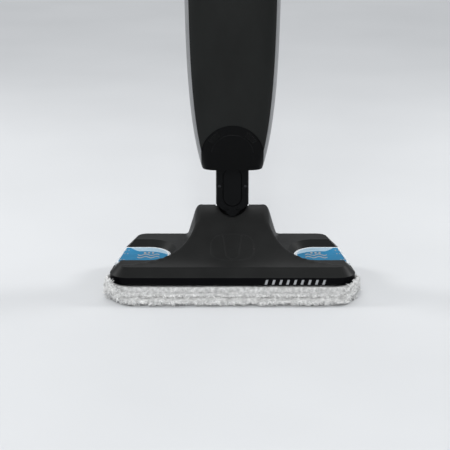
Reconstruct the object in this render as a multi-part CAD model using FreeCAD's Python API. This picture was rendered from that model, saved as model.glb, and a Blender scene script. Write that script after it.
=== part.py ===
"""Upright steam mop: mop head, swivel neck, steam body with a removable tank, pole and loop handle.

Millimetres, +Z up, the floor at Z = 0 and the head's centre over the origin. The front of the head faces -Y.
The mop is modelled parked, with its neck upright in the head.
"""

import FreeCAD, Part

import math
import os

from FreeCAD import Vector

# ---- Head ----------------------------------------------------------------------------------------
PAD_HALF_DEPTH = 87.0        # front to back, measured from the origin
PAD_FRONT_HALF = 157.5       # half width at the front edge, before the corners are rounded
PAD_REAR_HALF = 140.5
PAD_TOP = 17.0
PAD_CORNER_FRONT = 34.0
PAD_CORNER_REAR = 38.0

SHELL_FRONT = -73.0          # front face of the black band round the head
SHELL_REAR = 76.0
SHELL_FRONT_HALF = 150.5
SHELL_REAR_HALF = 132.5
SHELL_CORNER_FRONT = 24.0
SHELL_CORNER_REAR = 28.0
SHELL_WALL = 2.5
STRIP_TOP = 18.0             # top of the hook strips that grip the pad
SOLE_TOP = 20.0
BAND_BOTTOM = 20.6
BAND_TOP = 29.6
TRAY_FLOOR_TOP = 22.5
CHAMFER_TOP = 50.0           # height at which the 45 degree shoulder would stop if nothing cut it first
#              x and y of the posts that the head's screws hold
SCREW_POSTS = ((-66.0, -52.0), (66.0, -52.0), (-96.0, 58.0), (96.0, 58.0))

DECK_FRONT_Z = 39.3          # top of the shell just behind the front shoulder
DECK_SLOPE = 0.050           # rise of the deck per millimetre towards the back
HOOD_START = -62.0           # where the centre hood begins to rise out of the deck
RIDGE_Y = 34.0               # where the hood reaches its full height
RIDGE_Z = 90.0
HOOD_HALF_BASE = 60.5        # half width of the hood's foot beside the pivot
FLARE_START = 5.0            # the hood's foot flares outwards forward of this Y
FLARE_SIZE = 2.2
FLARE_LENGTH = 17.0
FLANK_BACK = 19.5            # width of the hood's side slope beside the pivot
FLANK_FRONT = 12.0           # and towards the front
HOOD_FALL = 32.0             # the hood falls away behind its ridge over this length
POCKET_Y = 40.5              # behind this plane the hood stops at POCKET_Z, so that the neck can lie down
POCKET_Z = 58.6

# ---- Pedals --------------------------------------------------------------------------------------
PEDAL_X = 104.0              # centre of the pedal's rounded inner end
PEDAL_Y = -3.5
PEDAL_A = 28.0               # half length of that end towards the middle
PEDAL_B = 32.5               # half width of the pedal
PEDAL_INSET = 3.2            # how far the pedal's outer side lies inside the band
PEDAL_TOP = 37.0
PEDAL_SKIN = 2.6
PEDAL_EDGE_Z = 35.8          # height of the pedal's outer edge; its top slopes down to it
PEDAL_SLOPE_RUN = 1.2
PEDAL_PLATE = 1.4            # thickness of the coloured plate set into the pedal
PEDAL_RIM = 2.2              # border left round that plate
PLATE_PROUD = 0.3
PEDAL_SKIRT_Z = 25.8
PEDAL_GAP = 0.6
WELL_TOP = 49.0              # the shell slopes down to the pedal all round, from this height
WELL_GROW = (12.8, 5.0, 12.0)  # how much wider the slope is at its top: inwards, to the front, to the rear
PEDAL_PIN_X = 89.0
PEDAL_PIN_Z = 28.0
PEDAL_PIN_R = 1.5

# ---- Swivel joint --------------------------------------------------------------------------------
PIVOT_Y = 25.0
TILT_Z = 71.0                # axis about which the handle leans back
ROLL_Z = 104.0               # axis about which the handle leans sideways
PIN_R = 4.0
RUNNING = 0.06               # radial clearance of a pin that turns
SLOT_HALF = 20.6
HUB_R = 8.0                  # the knuckle's hub round the tilt pin
WEB_HALF = 8.6               # half width of the knuckle's web, above the hub
SHIELD_HALF = 17.5           # a plate behind the hub closes the view through the hood
ROOM = 0.7                   # gap left round the knuckle inside the hood
SADDLE_R = 22.7              # the hood is hollowed under the neck, round the roll axis
NECK_HALF_X = 20.1
NECK_HALF_Y = 15.0
NECK_ROUND = 5.0
NECK_SCREW_Z = 120.5
CHEEK_DROP = 4.2             # the neck is open at its sides up to this far under the roll axis
NECK_TOP = 162.0
FORK_HALF = 8.2              # half the gap between the neck's front and rear cheeks
#            the neck's lower end from the front: its cut corners and the small nose between them
NECK_END = ((NECK_HALF_X, 97.6), (10.4, 90.0), (7.4, 89.4), (6.6, 86.6), (2.2, 82.3))
REAR_END_R = 21.5            # the neck's rear shell ends in a round of this radius about the roll axis
COVER_HALF = 11.8            # half width of the stadium plate on the neck

# ---- Steam body ----------------------------------------------------------------------------------
WALL = 2.5
#                height, half width, front Y, rear Y
BODY_SECTIONS = ((144.5, 37.0, -6.0, 52.0),
                 (177.0, 44.8, -11.5, 57.0),
                 (229.0, 51.6, -17.0, 63.5),
                 (285.0, 55.2, -20.5, 68.0),
                 (347.0, 56.9, -22.5, 71.0),
                 (410.0, 57.4, -22.0, 71.5),
                 (470.0, 55.0, -18.5, 68.5),
                 (530.0, 48.2, -11.5, 61.5),
                 (580.0, 37.8, -2.5, 53.0),
                 (620.0, 26.8, 4.5, 45.5),
                 (650.0, 19.5, 7.0, 43.0))
SECTION_POWER = 2.7          # 2 is an ellipse, more is squarer
FRONT_POWER = 4.2            # the same for the front half, which is flatter
SECTION_POINTS = 28
PANEL_INSET = 5.3            # the silver blades show this far outside the front panel
PANEL_PROUD = 1.2
SEAM_Y = 21.0                # front pieces end and the rear shell begins here
SEAM_GAP = 0.3
ARCH_Z = 164.2               # centre of the collar's round top
ARCH_R = 37.5
COLLAR_FLOOR = 3.5
COLLAR_REAR_Z = 166.0

TANK_Z0, TANK_Z1 = 245.0, 462.0
TANK_HALF = 42.0
TANK_FRONT = 39.0
TANK_GAP = 0.8
TANK_WALL = 2.0
BAY_WALL = 2.5
PUMP_X = -18.0
HOSE_R, HOSE_BORE = 4.0, 2.4
CAP_Z = 432.0
CAP_R = 15.0
OUTLET_Z = 262.0
OUTLET_R = 5.0

# ---- Pole and handle -----------------------------------------------------------------------------
POLE_R = 12.5
POLE_WALL = 1.4
POLE_Z0, POLE_Z1 = 600.0, 1012.0
COLLAR_TOP = 676.0
LOOP_Y, LOOP_Z = 20.0, 1094.0
LOOP_OUT = (47.0, 86.0)      # half depth and half height of the handle loop
LOOP_IN = (22.0, 58.0)
LOOP_HALF_X = 15.0
LOOP_ROUND = 9.0
#                y and height of the screws that close the handle
HANDLE_SCREWS = ((LOOP_Y - 35.5, LOOP_Z + 6.0), (LOOP_Y, LOOP_Z + 74.0), (LOOP_Y, 1022.0))
SWITCH_Z, LAMP_Z = 545.0, 514.0
SWITCH_REST = 6.0            # degrees that the rocker lies over when it is off
HOOK_Z_LOW = 566.0
HOOK_Z_HIGH = 968.0
GLAND_Z = 604.0              # where the mains lead enters

parts = {}
fasteners = []               # screws of the steam body and handle, gathered into one node


# ---- Small builders ------------------------------------------------------------------------------
def box(x0, x1, y0, y1, z0, z1):
    return Part.makeBox(x1 - x0, y1 - y0, z1 - z0, Vector(x0, y0, z0))


def rod(radius, start, end):
    start, end = Vector(*start), Vector(*end)
    return Part.makeCylinder(radius, (end - start).Length, start, end - start)


def cone(r0, r1, start, end):
    start, end = Vector(*start), Vector(*end)
    return Part.makeCone(r0, r1, (end - start).Length, start, end - start)


def pipe(outer, inner, start, end):
    return rod(outer, start, end).cut(rod(inner, start, end))


def mirrored(shape):
    return shape.mirror(Vector(0, 0, 0), Vector(1, 0, 0))


def extrude_face(wire, vector):
    return Part.Face(wire).extrude(Vector(*vector))


def rounded_wire(corners, place):
    """A closed wire through corners (a, b, radius), with an arc at each; place turns (a, b) into a point."""
    edges, ends = [], []
    count = len(corners)
    for i, (a, b, radius) in enumerate(corners):
        here = Vector(a, b, 0)
        before = Vector(corners[i - 1][0], corners[i - 1][1], 0)
        after = Vector(corners[(i + 1) % count][0], corners[(i + 1) % count][1], 0)
        to_before, to_after = (before - here).normalize(), (after - here).normalize()
        half = to_before.getAngle(to_after) / 2
        reach = radius / math.tan(half)
        bisector = (to_before + to_after).normalize()
        centre = here + bisector * (radius / math.sin(half))
        middle = centre - bisector * radius
        ends.append((here + to_before * reach, middle, here + to_after * reach))
    for i in range(count):
        start, middle, end = (place(p.x, p.y) for p in ends[i])
        following = place(ends[(i + 1) % count][0].x, ends[(i + 1) % count][0].y)
        edges.append(Part.Arc(start, middle, end).toShape())
        edges.append(Part.makeLine(end, following))
    return Part.Wire(edges)


def plate(corners, z0, z1):
    return extrude_face(rounded_wire(corners, lambda a, b: Vector(a, b, z0)), (0, 0, z1 - z0))


def stadium(x_half, z_low, z_high, y0, y1):
    """An upright slot shape in XZ, round at its lower end and square at its top, between two Y planes."""
    low, high = Vector(-x_half, y0, z_low + x_half), Vector(x_half, y0, z_low + x_half)
    edges = [Part.Arc(low, Vector(0, y0, z_low), high).toShape(),
             Part.makeLine(high, Vector(x_half, y0, z_high)),
             Part.makeLine(Vector(x_half, y0, z_high), Vector(-x_half, y0, z_high)),
             Part.makeLine(Vector(-x_half, y0, z_high), low)]
    return extrude_face(Part.Wire(edges), (0, y1 - y0, 0))


def bent_tube(points, outer, inner):
    """A tube along straight runs joined by tangent arcs, each as large as its two runs allow."""
    points = [Vector(*p) for p in points]
    edges, last = [], points[0]
    for before, here, after in zip(points, points[1:], points[2:]):
        back, ahead = before - here, after - here
        reach = 0.45 * min(back.Length, ahead.Length)
        back.normalize()
        ahead.normalize()
        half = back.getAngle(ahead) / 2
        bisector = (back + ahead).normalize()
        radius = reach * math.tan(half)
        middle = here + bisector * (radius / math.sin(half) - radius)
        start, end = here + back * reach, here + ahead * reach
        edges += [Part.makeLine(last, start), Part.Arc(start, middle, end).toShape()]
        last = end
    edges.append(Part.makeLine(last, points[-1]))
    path = Part.Wire(edges)

    def swept(radius):
        profile = Part.Wire(Part.makeCircle(radius, points[0], points[1] - points[0]))
        return path.makePipeShell([profile], True, False)

    return swept(outer).cut(swept(inner))


def spring(radius, wire, pitch, height, start, direction):
    helix = Part.makeHelix(pitch, height, radius)
    profile = Part.Wire(Part.makeCircle(wire, Vector(radius, 0, 0), Vector(0, 1, 0)))
    coil = Part.Wire(helix).makePipeShell([profile], True, True)
    turn = FreeCAD.Rotation(Vector(0, 0, 1), Vector(*direction))
    coil.Placement = FreeCAD.Placement(Vector(*start), turn)
    return coil


def screw(start, direction, length, head_r=3.2, shank_r=1.5):
    """A pan head screw: start is the middle of the head's outer face, direction the way that it drives."""
    start, direction = Vector(*start), Vector(*direction).normalize()
    head = Part.makeCylinder(head_r, 2.0, start, direction)
    shank = Part.makeCylinder(shank_r, length, start + direction * 2.0, direction)
    slot = Part.makeBox(2 * head_r, 0.8, 0.8, Vector(-head_r, -0.4, 0))
    cross = slot.fuse(Part.makeBox(0.8, 2 * head_r, 0.8, Vector(-0.4, -head_r, 0)))
    cross.Placement = FreeCAD.Placement(start, FreeCAD.Rotation(Vector(0, 0, 1), direction))
    return head.fuse(shank).cut(cross)


def group(shapes):
    return Part.makeCompound([solid for shape in shapes for solid in shape.Solids])


# ---- Head ----------------------------------------------------------------------------------------
def trapezoid(front_y, rear_y, front_half, rear_half, front_r, rear_r, inset):
    """Corners of a trapezoid with rounded corners, drawn in by inset on every side."""
    length = math.hypot(rear_y - front_y, front_half - rear_half)
    normal_x, normal_y = (rear_y - front_y) / length, (front_half - rear_half) / length
    reach = normal_x * front_half + normal_y * front_y - inset

    def side(y):
        return (reach - normal_y * y) / normal_x

    low, high = front_y + inset, rear_y - inset
    front_r, rear_r = max(front_r - inset, 2.0), max(rear_r - inset, 2.0)
    return ((side(low), low, front_r), (side(high), high, rear_r),
            (-side(high), high, rear_r), (-side(low), low, front_r))


def shell_corners(inset):
    return trapezoid(SHELL_FRONT, SHELL_REAR, SHELL_FRONT_HALF, SHELL_REAR_HALF,
                     SHELL_CORNER_FRONT, SHELL_CORNER_REAR, inset)


def pad_corners(inset):
    return trapezoid(-PAD_HALF_DEPTH, PAD_HALF_DEPTH, PAD_FRONT_HALF, PAD_REAR_HALF,
                     PAD_CORNER_FRONT, PAD_CORNER_REAR, inset)


def smooth(t):
    t = min(1.0, max(0.0, t))
    return t * t * (3 - 2 * t)


def shell_height(x, y):
    """Height of the head's upper surface: a gently sloping deck and the centre hood."""
    deck = DECK_FRONT_Z + DECK_SLOPE * (y - SHELL_FRONT)
    rise = smooth((y - HOOD_START) / (RIDGE_Y - HOOD_START))
    fall = smooth((y - RIDGE_Y - 4.0) / HOOD_FALL)
    foot = HOOD_HALF_BASE + FLARE_SIZE * (math.exp(max(0.0, FLARE_START - y) / FLARE_LENGTH) - 1.0)
    flank = FLANK_FRONT + (FLANK_BACK - FLANK_FRONT) * smooth((y + 45.0) / 60.0)
    across = 1.0 - smooth((abs(x) - foot + flank) / flank)
    return deck + (RIDGE_Z - deck) * rise * (1.0 - fall) * across


def below_surface(drop):
    """Everything below the head's upper surface, lowered by drop."""
    xs = [-156.0 + 4.0 * i for i in range(79)]
    ys = [-84.0 + 4.0 * j for j in range(43)]
    grid = [[Vector(x, y, shell_height(x, y) - drop) for y in ys] for x in xs]
    surface = Part.BSplineSurface()
    surface.interpolate(grid)
    return surface.toShape().extrude(Vector(0, 0, -90))


def shoulder(inset):
    """The head's outline with its 45 degree shoulder, then straight up to over the hood."""
    rise = CHAMFER_TOP - BAND_TOP
    wires = [rounded_wire(shell_corners(inset + step), lambda a, b, z=BAND_TOP + step: Vector(a, b, z))
             for step in (0.0, rise)]
    taper = Part.makeLoft(wires, True, True)
    return taper.fuse(plate(shell_corners(inset + rise), CHAMFER_TOP, 110.0))


def pedal_wire(inwards, front, rear, z):
    """The right pedal's outline at height z, grown on three sides; it runs out past the side of the head."""
    y0, y1 = PEDAL_Y - PEDAL_B - front, PEDAL_Y + PEDAL_B + rear
    middle, half, reach = (y0 + y1) / 2, (y1 - y0) / 2, PEDAL_A + inwards
    centre = Vector(PEDAL_X, middle, z)
    long_end, short_end = Vector(PEDAL_X, y1, z), Vector(PEDAL_X - reach, middle, z)
    curve = Part.Ellipse(long_end, short_end, centre)
    first, last = curve.parameter(long_end), curve.parameter(Vector(PEDAL_X, y0, z))
    if last < first:
        last += 2 * math.pi
    arc = curve.toShape(first, last)
    if arc.valueAt((arc.FirstParameter + arc.LastParameter) / 2).x > PEDAL_X:
        arc = curve.toShape(last - 2 * math.pi, first)
    corners = [Vector(PEDAL_X, y0, z), Vector(170.0, y0, z), Vector(170.0, y1, z), long_end]
    return Part.Wire(Part.__sortEdges__([arc] + [Part.makeLine(p, q) for p, q in zip(corners, corners[1:])]))


def pedal_prism(grow, z0, z1):
    return extrude_face(pedal_wire(grow, grow, grow, z0), (0, 0, z1 - z0))


def pedal_well(wall):
    """The slope from the deck down to the right pedal, as the solid to be cut away."""
    inwards, front, rear = (grow + wall for grow in WELL_GROW)
    low = PEDAL_GAP + wall
    wires = [pedal_wire(low, low, low, PEDAL_TOP - 0.8 - wall), pedal_wire(inwards, front, rear, WELL_TOP)]
    return Part.makeLoft(wires, True, True)


def pedal_under(drop):
    """Everything under the pedal's upper surface, which is level and then slopes down to its outer edge."""
    low = PEDAL_EDGE_Z - drop
    rise = PEDAL_TOP - PEDAL_EDGE_Z + 2.0
    run = PEDAL_SLOPE_RUN * rise / (PEDAL_TOP - PEDAL_EDGE_Z)
    wires = [rounded_wire(shell_corners(PEDAL_INSET + step), lambda a, b, z=z: Vector(a, b, z))
             for step, z in ((0.0, low), (run, low + rise))]
    slope = Part.makeLoft(wires, True, True)
    slope = slope.common(box(-200, 200, -200, 200, 0, PEDAL_TOP - drop))
    return slope.fuse(plate(shell_corners(PEDAL_INSET), 10.0, low)).removeSplitter()


def make_pad():
    pad = plate(pad_corners(0), 0.0, PAD_TOP)
    edges = [e for e in pad.Edges if abs(e.BoundBox.ZMax - e.BoundBox.ZMin) < 0.1]
    parts["microfibre_pad"] = pad.makeFillet(4.0, edges)


def make_sole():
    sole = plate(shell_corners(7.0), STRIP_TOP, SOLE_TOP)
    for row in (-40.0, 0.0, 40.0):
        for step in range(-4, 5):
            sole = sole.cut(rod(1.6, (26.0 * step, row, STRIP_TOP - 1), (26.0 * step, row, SOLE_TOP + 1)))
    parts["sole_plate"] = sole
    strips = [box(-112, 112, y - 8, y + 8, PAD_TOP, STRIP_TOP) for y in (-56.0, -20.0, 20.0, 54.0)]
    parts["hook_strips"] = group(strips)


def make_tray():
    outer = plate(shell_corners(0), BAND_BOTTOM, BAND_TOP)
    foot = plate(shell_corners(6.4), SOLE_TOP, TRAY_FLOOR_TOP)
    hollow = plate(shell_corners(SHELL_WALL), TRAY_FLOOR_TOP, BAND_TOP + 1)
    tray = outer.fuse(foot).cut(hollow)
    for side in (-1, 1):
        for y in (PEDAL_Y - 15.0, PEDAL_Y + 15.0):
            ear = box(PEDAL_PIN_X - 4, PEDAL_PIN_X + 4, y - 2, y + 2, TRAY_FLOOR_TOP - 0.5, PEDAL_PIN_Z + 3.0)
            bore = rod(PEDAL_PIN_R, (PEDAL_PIN_X, y - 3, PEDAL_PIN_Z), (PEDAL_PIN_X, y + 3, PEDAL_PIN_Z))
            ear = ear.cut(bore)
            tray = tray.fuse(ear if side > 0 else mirrored(ear))
    tray = tray.cut(rod(5.0, (-42, PIVOT_Y, SOLE_TOP - 1), (-42, PIVOT_Y, TRAY_FLOOR_TOP + 1)))
    posts = [rod(4.0, (x, y, TRAY_FLOOR_TOP - 0.5), (x, y, BAND_TOP)) for x, y in SCREW_POSTS]
    parts["base_tray"] = tray.fuse(posts).removeSplitter()


def neck_room(wall):
    """The space kept clear in the hood for the knuckle and the neck, grown by the wall round it."""
    hub = HUB_R + ROOM + wall
    front = PIVOT_Y - hub
    side = SLOT_HALF + wall
    web = WEB_HALF + ROOM + 0.4 + wall
    return [box(-side, side, front, 90, POCKET_Z - wall, TILT_Z + hub),
            box(-web, web, front, 90, POCKET_Z - wall, 120),
            box(-side, side, PIVOT_Y + FORK_HALF - ROOM - wall, 90, POCKET_Z - wall, 120),
            box(-90, 90, POCKET_Y - wall, 90, POCKET_Z - wall, 120),
            rod(SADDLE_R + wall, (0, -20, ROLL_Z), (0, 90, ROLL_Z))]


def make_cover():
    wells = [pedal_well(0.0), mirrored(pedal_well(0.0))]
    prism = pedal_prism(PEDAL_GAP, BAND_TOP - 2, 60.0)
    outer = shoulder(0.0).common(below_surface(0.0)).cut(wells + neck_room(0.0))
    inner = shoulder(SHELL_WALL).common(below_surface(SHELL_WALL + 0.6))
    lip = plate(shell_corners(SHELL_WALL), BAND_TOP - 1, BAND_TOP + 0.01)
    wide = pedal_well(SHELL_WALL)
    inner = inner.fuse(lip).cut([wide, mirrored(wide)] + neck_room(SHELL_WALL))
    posts = [rod(3.6, (x, y, BAND_TOP), (x, y, 60.0)) for x, y in SCREW_POSTS]
    inner = inner.cut(posts)
    parts["head_cover"] = outer.cut([inner, prism, mirrored(prism)])


def make_bracket():
    """The cradle inside the hood that carries the tilt pin."""
    inside = SLOT_HALF + SHELL_WALL + 0.3
    end = inside + 6.0
    front, rear = PIVOT_Y - 11.0, PIVOT_Y + 7.0
    outer = box(-end, end, front, rear, 50, TILT_Z + 7.5)
    inner = box(-inside, inside, front - 5, rear + 5, 56, 90)
    legs = [box(x - 5, x + 5, front, rear, TRAY_FLOOR_TOP, 52) for x in (-20.0, 20.0)]
    bracket = outer.cut(inner).fuse(legs)
    bracket = bracket.cut(rod(PIN_R, (-60, PIVOT_Y, TILT_Z), (60, PIVOT_Y, TILT_Z)))
    parts["pivot_bracket"] = bracket.removeSplitter()
    parts["tilt_pin"] = pipe(PIN_R, 1.8, (-end - 1, PIVOT_Y, TILT_Z), (end + 1, PIVOT_Y, TILT_Z))
    parts["head_cover"] = parts["head_cover"].cut(
        rod(PIN_R, (-inside, PIVOT_Y, TILT_Z), (inside, PIVOT_Y, TILT_Z)))
    route = ((-end - 1, PIVOT_Y, TILT_Z), (-42, PIVOT_Y, TILT_Z), (-42, PIVOT_Y, SOLE_TOP))
    parts["steam_duct"] = bent_tube(route, 5.0, 3.4)


def make_head_screws():
    screws = [screw((x, y, SOLE_TOP), (0, 0, 1), 12.0, 3.0, 1.4) for x, y in SCREW_POSTS]
    parts["head_screws"] = group(screws)
    for x, y in SCREW_POSTS:
        hole = rod(1.4, (x, y, SOLE_TOP), (x, y, SOLE_TOP + 14.0))
        seat = rod(3.0, (x, y, SOLE_TOP - 2), (x, y, SOLE_TOP + 2.0))
        for name in ("base_tray", "head_cover"):
            parts[name] = parts[name].cut([hole, seat])


def make_badge():
    """A plain raised bar on the front band, in place of any name."""
    corners = ((36.0, 21.6, 2.7), (113.0, 21.6, 2.7), (113.0, 27.4, 2.7), (36.0, 27.4, 2.7))
    wire = rounded_wire(corners, lambda a, b: Vector(a, SHELL_FRONT, b))
    parts["front_badge"] = extrude_face(wire, (0, -0.8, 0))


def make_pedals():
    """Two foot pedals, each hinged at its inner end, with a coloured plate set into its top."""
    skin = pedal_under(0.0).common(pedal_prism(0.0, 20, 50)).cut(pedal_under(PEDAL_SKIN))
    border = plate(shell_corners(PEDAL_INSET + PEDAL_RIM), 20, 50).common(pedal_prism(-PEDAL_RIM, 20, 50))
    seat = border.cut(pedal_under(PEDAL_PLATE))
    skirt = pedal_prism(-1.5, PEDAL_SKIRT_Z, PEDAL_TOP).common(plate(shell_corners(PEDAL_INSET), 20, 50))
    skirt = skirt.cut(pedal_prism(-3.5, 20, 50).common(plate(shell_corners(PEDAL_INSET + 2.0), 20, 50)))
    skirt = skirt.common(box(98.0, 160.0, -60, 60, 20, 50)).common(pedal_under(PEDAL_SKIN - 0.4))
    knuckles = [box(PEDAL_PIN_X - 3, PEDAL_PIN_X + 3, PEDAL_Y + y - 2, PEDAL_Y + y + 2,
                    PEDAL_PIN_Z - 3, PEDAL_TOP - PEDAL_SKIN + 0.4) for y in (-10.5, 10.5)]
    frame = skin.cut(seat).fuse([skirt] + knuckles)
    bore = rod(PEDAL_PIN_R + RUNNING, (PEDAL_PIN_X, -60, PEDAL_PIN_Z), (PEDAL_PIN_X, 60, PEDAL_PIN_Z))
    frame = frame.cut(bore)
    frame = frame.removeSplitter()
    inlay = border.common(pedal_under(-PLATE_PROUD)).cut(pedal_under(PEDAL_PLATE))
    pin = rod(PEDAL_PIN_R, (PEDAL_PIN_X, PEDAL_Y - 17, PEDAL_PIN_Z), (PEDAL_PIN_X, PEDAL_Y + 17, PEDAL_PIN_Z))
    coil = spring(4.0, 0.9, 2.9, PEDAL_TOP - PEDAL_SKIN - TRAY_FLOOR_TOP - 3.8,
                  (116.0, PEDAL_Y, TRAY_FLOOR_TOP + 1.0), (0, 0, 1))
    parts["right_pedal"], parts["left_pedal"] = frame, mirrored(frame)
    parts["right_pedal_plate"], parts["left_pedal_plate"] = inlay, mirrored(inlay)
    parts["pedal_pins"] = group([pin, mirrored(pin)])
    parts["pedal_springs"] = group([coil, mirrored(coil)])


# ---- Swivel joint and neck -----------------------------------------------------------------------
def make_knuckle():
    y0, y1 = PIVOT_Y - FORK_HALF + 0.7, PIVOT_Y + FORK_HALF - 0.7
    hub = rod(HUB_R, (-SLOT_HALF + 0.6, PIVOT_Y, TILT_Z), (SLOT_HALF - 0.6, PIVOT_Y, TILT_Z))
    eye = rod(10.5, (0, y0, ROLL_Z), (0, y1, ROLL_Z))
    web = box(-WEB_HALF, WEB_HALF, y0, y1, TILT_Z + 2, ROLL_Z - 4)
    shield = box(-SHIELD_HALF, SHIELD_HALF, PIVOT_Y + 7.7, PIVOT_Y + 9.6,
                 TILT_Z - 3.2, ROLL_Z - SADDLE_R - 0.3)
    knuckle = hub.fuse([eye, web, shield]).removeSplitter()
    bores = [rod(5.5, (-40, PIVOT_Y, TILT_Z), (40, PIVOT_Y, TILT_Z)),
             rod(PIN_R + RUNNING, (0, -10, ROLL_Z), (0, 80, ROLL_Z)),
             rod(1.8, (0, PIVOT_Y, TILT_Z), (0, PIVOT_Y, ROLL_Z))]
    parts["swivel_knuckle"] = knuckle.cut(bores)
    length = SLOT_HALF - 0.6
    bushes = [pipe(5.5, PIN_R + RUNNING, (side * length, PIVOT_Y, TILT_Z),
                   (side * (length - 12), PIVOT_Y, TILT_Z)) for side in (-1, 1)]
    parts["knuckle_bushes"] = group(bushes)
    parts["roll_pin"] = pipe(PIN_R, 1.8, (0, PIVOT_Y - 12.5, ROLL_Z), (0, PIVOT_Y + 12.5, ROLL_Z))


def neck_blank(inset, z0, z1):
    x, y, r = NECK_HALF_X - inset, NECK_HALF_Y - inset, NECK_ROUND - inset
    corners = ((x, PIVOT_Y - y, r), (x, PIVOT_Y + y, r), (-x, PIVOT_Y + y, r), (-x, PIVOT_Y - y, r))
    return plate(corners, z0, z1)


def make_neck():
    outline = [(x, z) for x, z in NECK_END] + [(-x, z) for x, z in reversed(NECK_END)]
    outline += [(-NECK_HALF_X, NECK_TOP), (NECK_HALF_X, NECK_TOP), outline[0]]
    end = Part.makePolygon([Vector(x, PIVOT_Y - 20, z) for x, z in outline])
    whole = neck_blank(0, 80.0, NECK_TOP)
    dome = rod(REAR_END_R, (0, PIVOT_Y, ROLL_Z), (0, 80, ROLL_Z)).fuse(box(-40, 40, PIVOT_Y, 80, ROLL_Z, 200))
    blank = whole.common(extrude_face(end, (0, 40, 0))).common(box(-40, 40, 0, PIVOT_Y, 60, 200))
    blank = blank.fuse(whole.common(dome))
    inside = NECK_HALF_X - 2.4
    gap = box(-inside, inside, PIVOT_Y - FORK_HALF, PIVOT_Y + FORK_HALF, 70, ROLL_Z + 16)
    sides = box(-30, 30, PIVOT_Y - FORK_HALF, PIVOT_Y + FORK_HALF, 70, ROLL_Z - CHEEK_DROP)
    duct = neck_blank(3.0, ROLL_Z + 19, NECK_TOP + 1)
    passage = rod(4.4, (0, PIVOT_Y, ROLL_Z + 14), (0, PIVOT_Y, ROLL_Z + 22))
    pin_bore = rod(PIN_R, (0, PIVOT_Y - 12.5, ROLL_Z), (0, PIVOT_Y + 12.5, ROLL_Z))
    front = PIVOT_Y - NECK_HALF_Y
    recess = stadium(COVER_HALF + 0.35, ROLL_Z - COVER_HALF + 2.65, NECK_TOP + 1, front - 1, front + 1.4)
    pockets = [box(x - 2.9, x + 2.9, front - 1, front + 1.2, 90.6, 93.9) for x in (-7.4, 7.4)]
    neck = blank.cut([gap, sides, duct, passage, pin_bore, recess] + pockets)
    for x in (-15.8, 15.8):
        neck = neck.cut([rod(1.9, (x, front - 1, NECK_SCREW_Z), (x, front + 4, NECK_SCREW_Z)),
                         rod(1.1, (x, front - 1, NECK_SCREW_Z), (x, front + 18, NECK_SCREW_Z))])
    parts["neck_front_shell"] = neck.common(box(-40, 40, 0, PIVOT_Y, 60, 200))
    parts["neck_rear_shell"] = neck.common(box(-40, 40, PIVOT_Y, 80, 60, 200))
    parts["neck_cover"] = stadium(COVER_HALF, ROLL_Z - COVER_HALF + 3, 144.1, front - 0.4, front + 1.4)
    fasteners.extend(screw((x, front + 2.0, NECK_SCREW_Z), (0, 1, 0), 14.0, 1.9, 1.1) for x in (-15.8, 15.8))
    parts["steam_pipe"] = pipe(4.2, 2.6, (0, PIVOT_Y, ROLL_Z + 14.5), (0, PIVOT_Y, 186.0))


# ---- Steam body ----------------------------------------------------------------------------------
def section_wire(z, half, front, rear, inset):
    half, front, rear = half - inset, front + inset, rear - inset
    centre, depth = (front + rear) / 2, (rear - front) / 2
    points = []
    for i in range(SECTION_POINTS):
        angle = 2 * math.pi * i / SECTION_POINTS
        c, s = math.cos(angle), math.sin(angle)
        power = SECTION_POWER if s > 0 else FRONT_POWER
        points.append(Vector(half * math.copysign(abs(c) ** (2 / power), c),
                             centre + depth * math.copysign(abs(s) ** (2 / power), s), z))
    curve = Part.BSplineCurve()
    curve.interpolate(Points=points, PeriodicFlag=True)
    return Part.Wire(curve.toShape())


def body_blank(inset, front_proud=0.0):
    wires = [section_wire(z, half, front - front_proud, rear, inset)
             for z, half, front, rear in BODY_SECTIONS]
    return Part.makeLoft(wires, True, False)


def blended(z, column):
    """A body dimension at height z, straight between its sections."""
    for low, high in zip(BODY_SECTIONS, BODY_SECTIONS[1:]):
        if z <= high[0]:
            share = (z - low[0]) / (high[0] - low[0])
            return low[column] + share * (high[column] - low[column])
    return BODY_SECTIONS[-1][column]


def panel_prism(grow, y0, y1):
    """The front panel's outline in XZ: curved sides, open below the collar's arch, closed at the top."""
    heights = [148.5, 182.0, 233.0, 283.0, 349.0, 410.0, 470.0, 530.0, 580.0, 620.0, 652.0]
    right = [Vector(blended(z, 1) - PANEL_INSET + grow, y0, z) for z in heights]
    curve = Part.BSplineCurve()
    curve.interpolate(right)
    left = Part.BSplineCurve()
    left.interpolate([Vector(-p.x, p.y, p.z) for p in reversed(right)])
    edges = [curve.toShape(), Part.makeLine(right[-1], Vector(-right[-1].x, y0, right[-1].z)), left.toShape(),
             Part.makeLine(Vector(-right[0].x, y0, right[0].z), right[0])]
    return extrude_face(Part.Wire(edges), (0, y1 - y0, 0))


def arch_prism(grow, y0, y1):
    radius = ARCH_R + grow
    dome = rod(radius, (0, y0, ARCH_Z), (0, y1, ARCH_Z))
    return dome.fuse(box(-radius, radius, y0, y1, 130, ARCH_Z)).removeSplitter()


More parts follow.
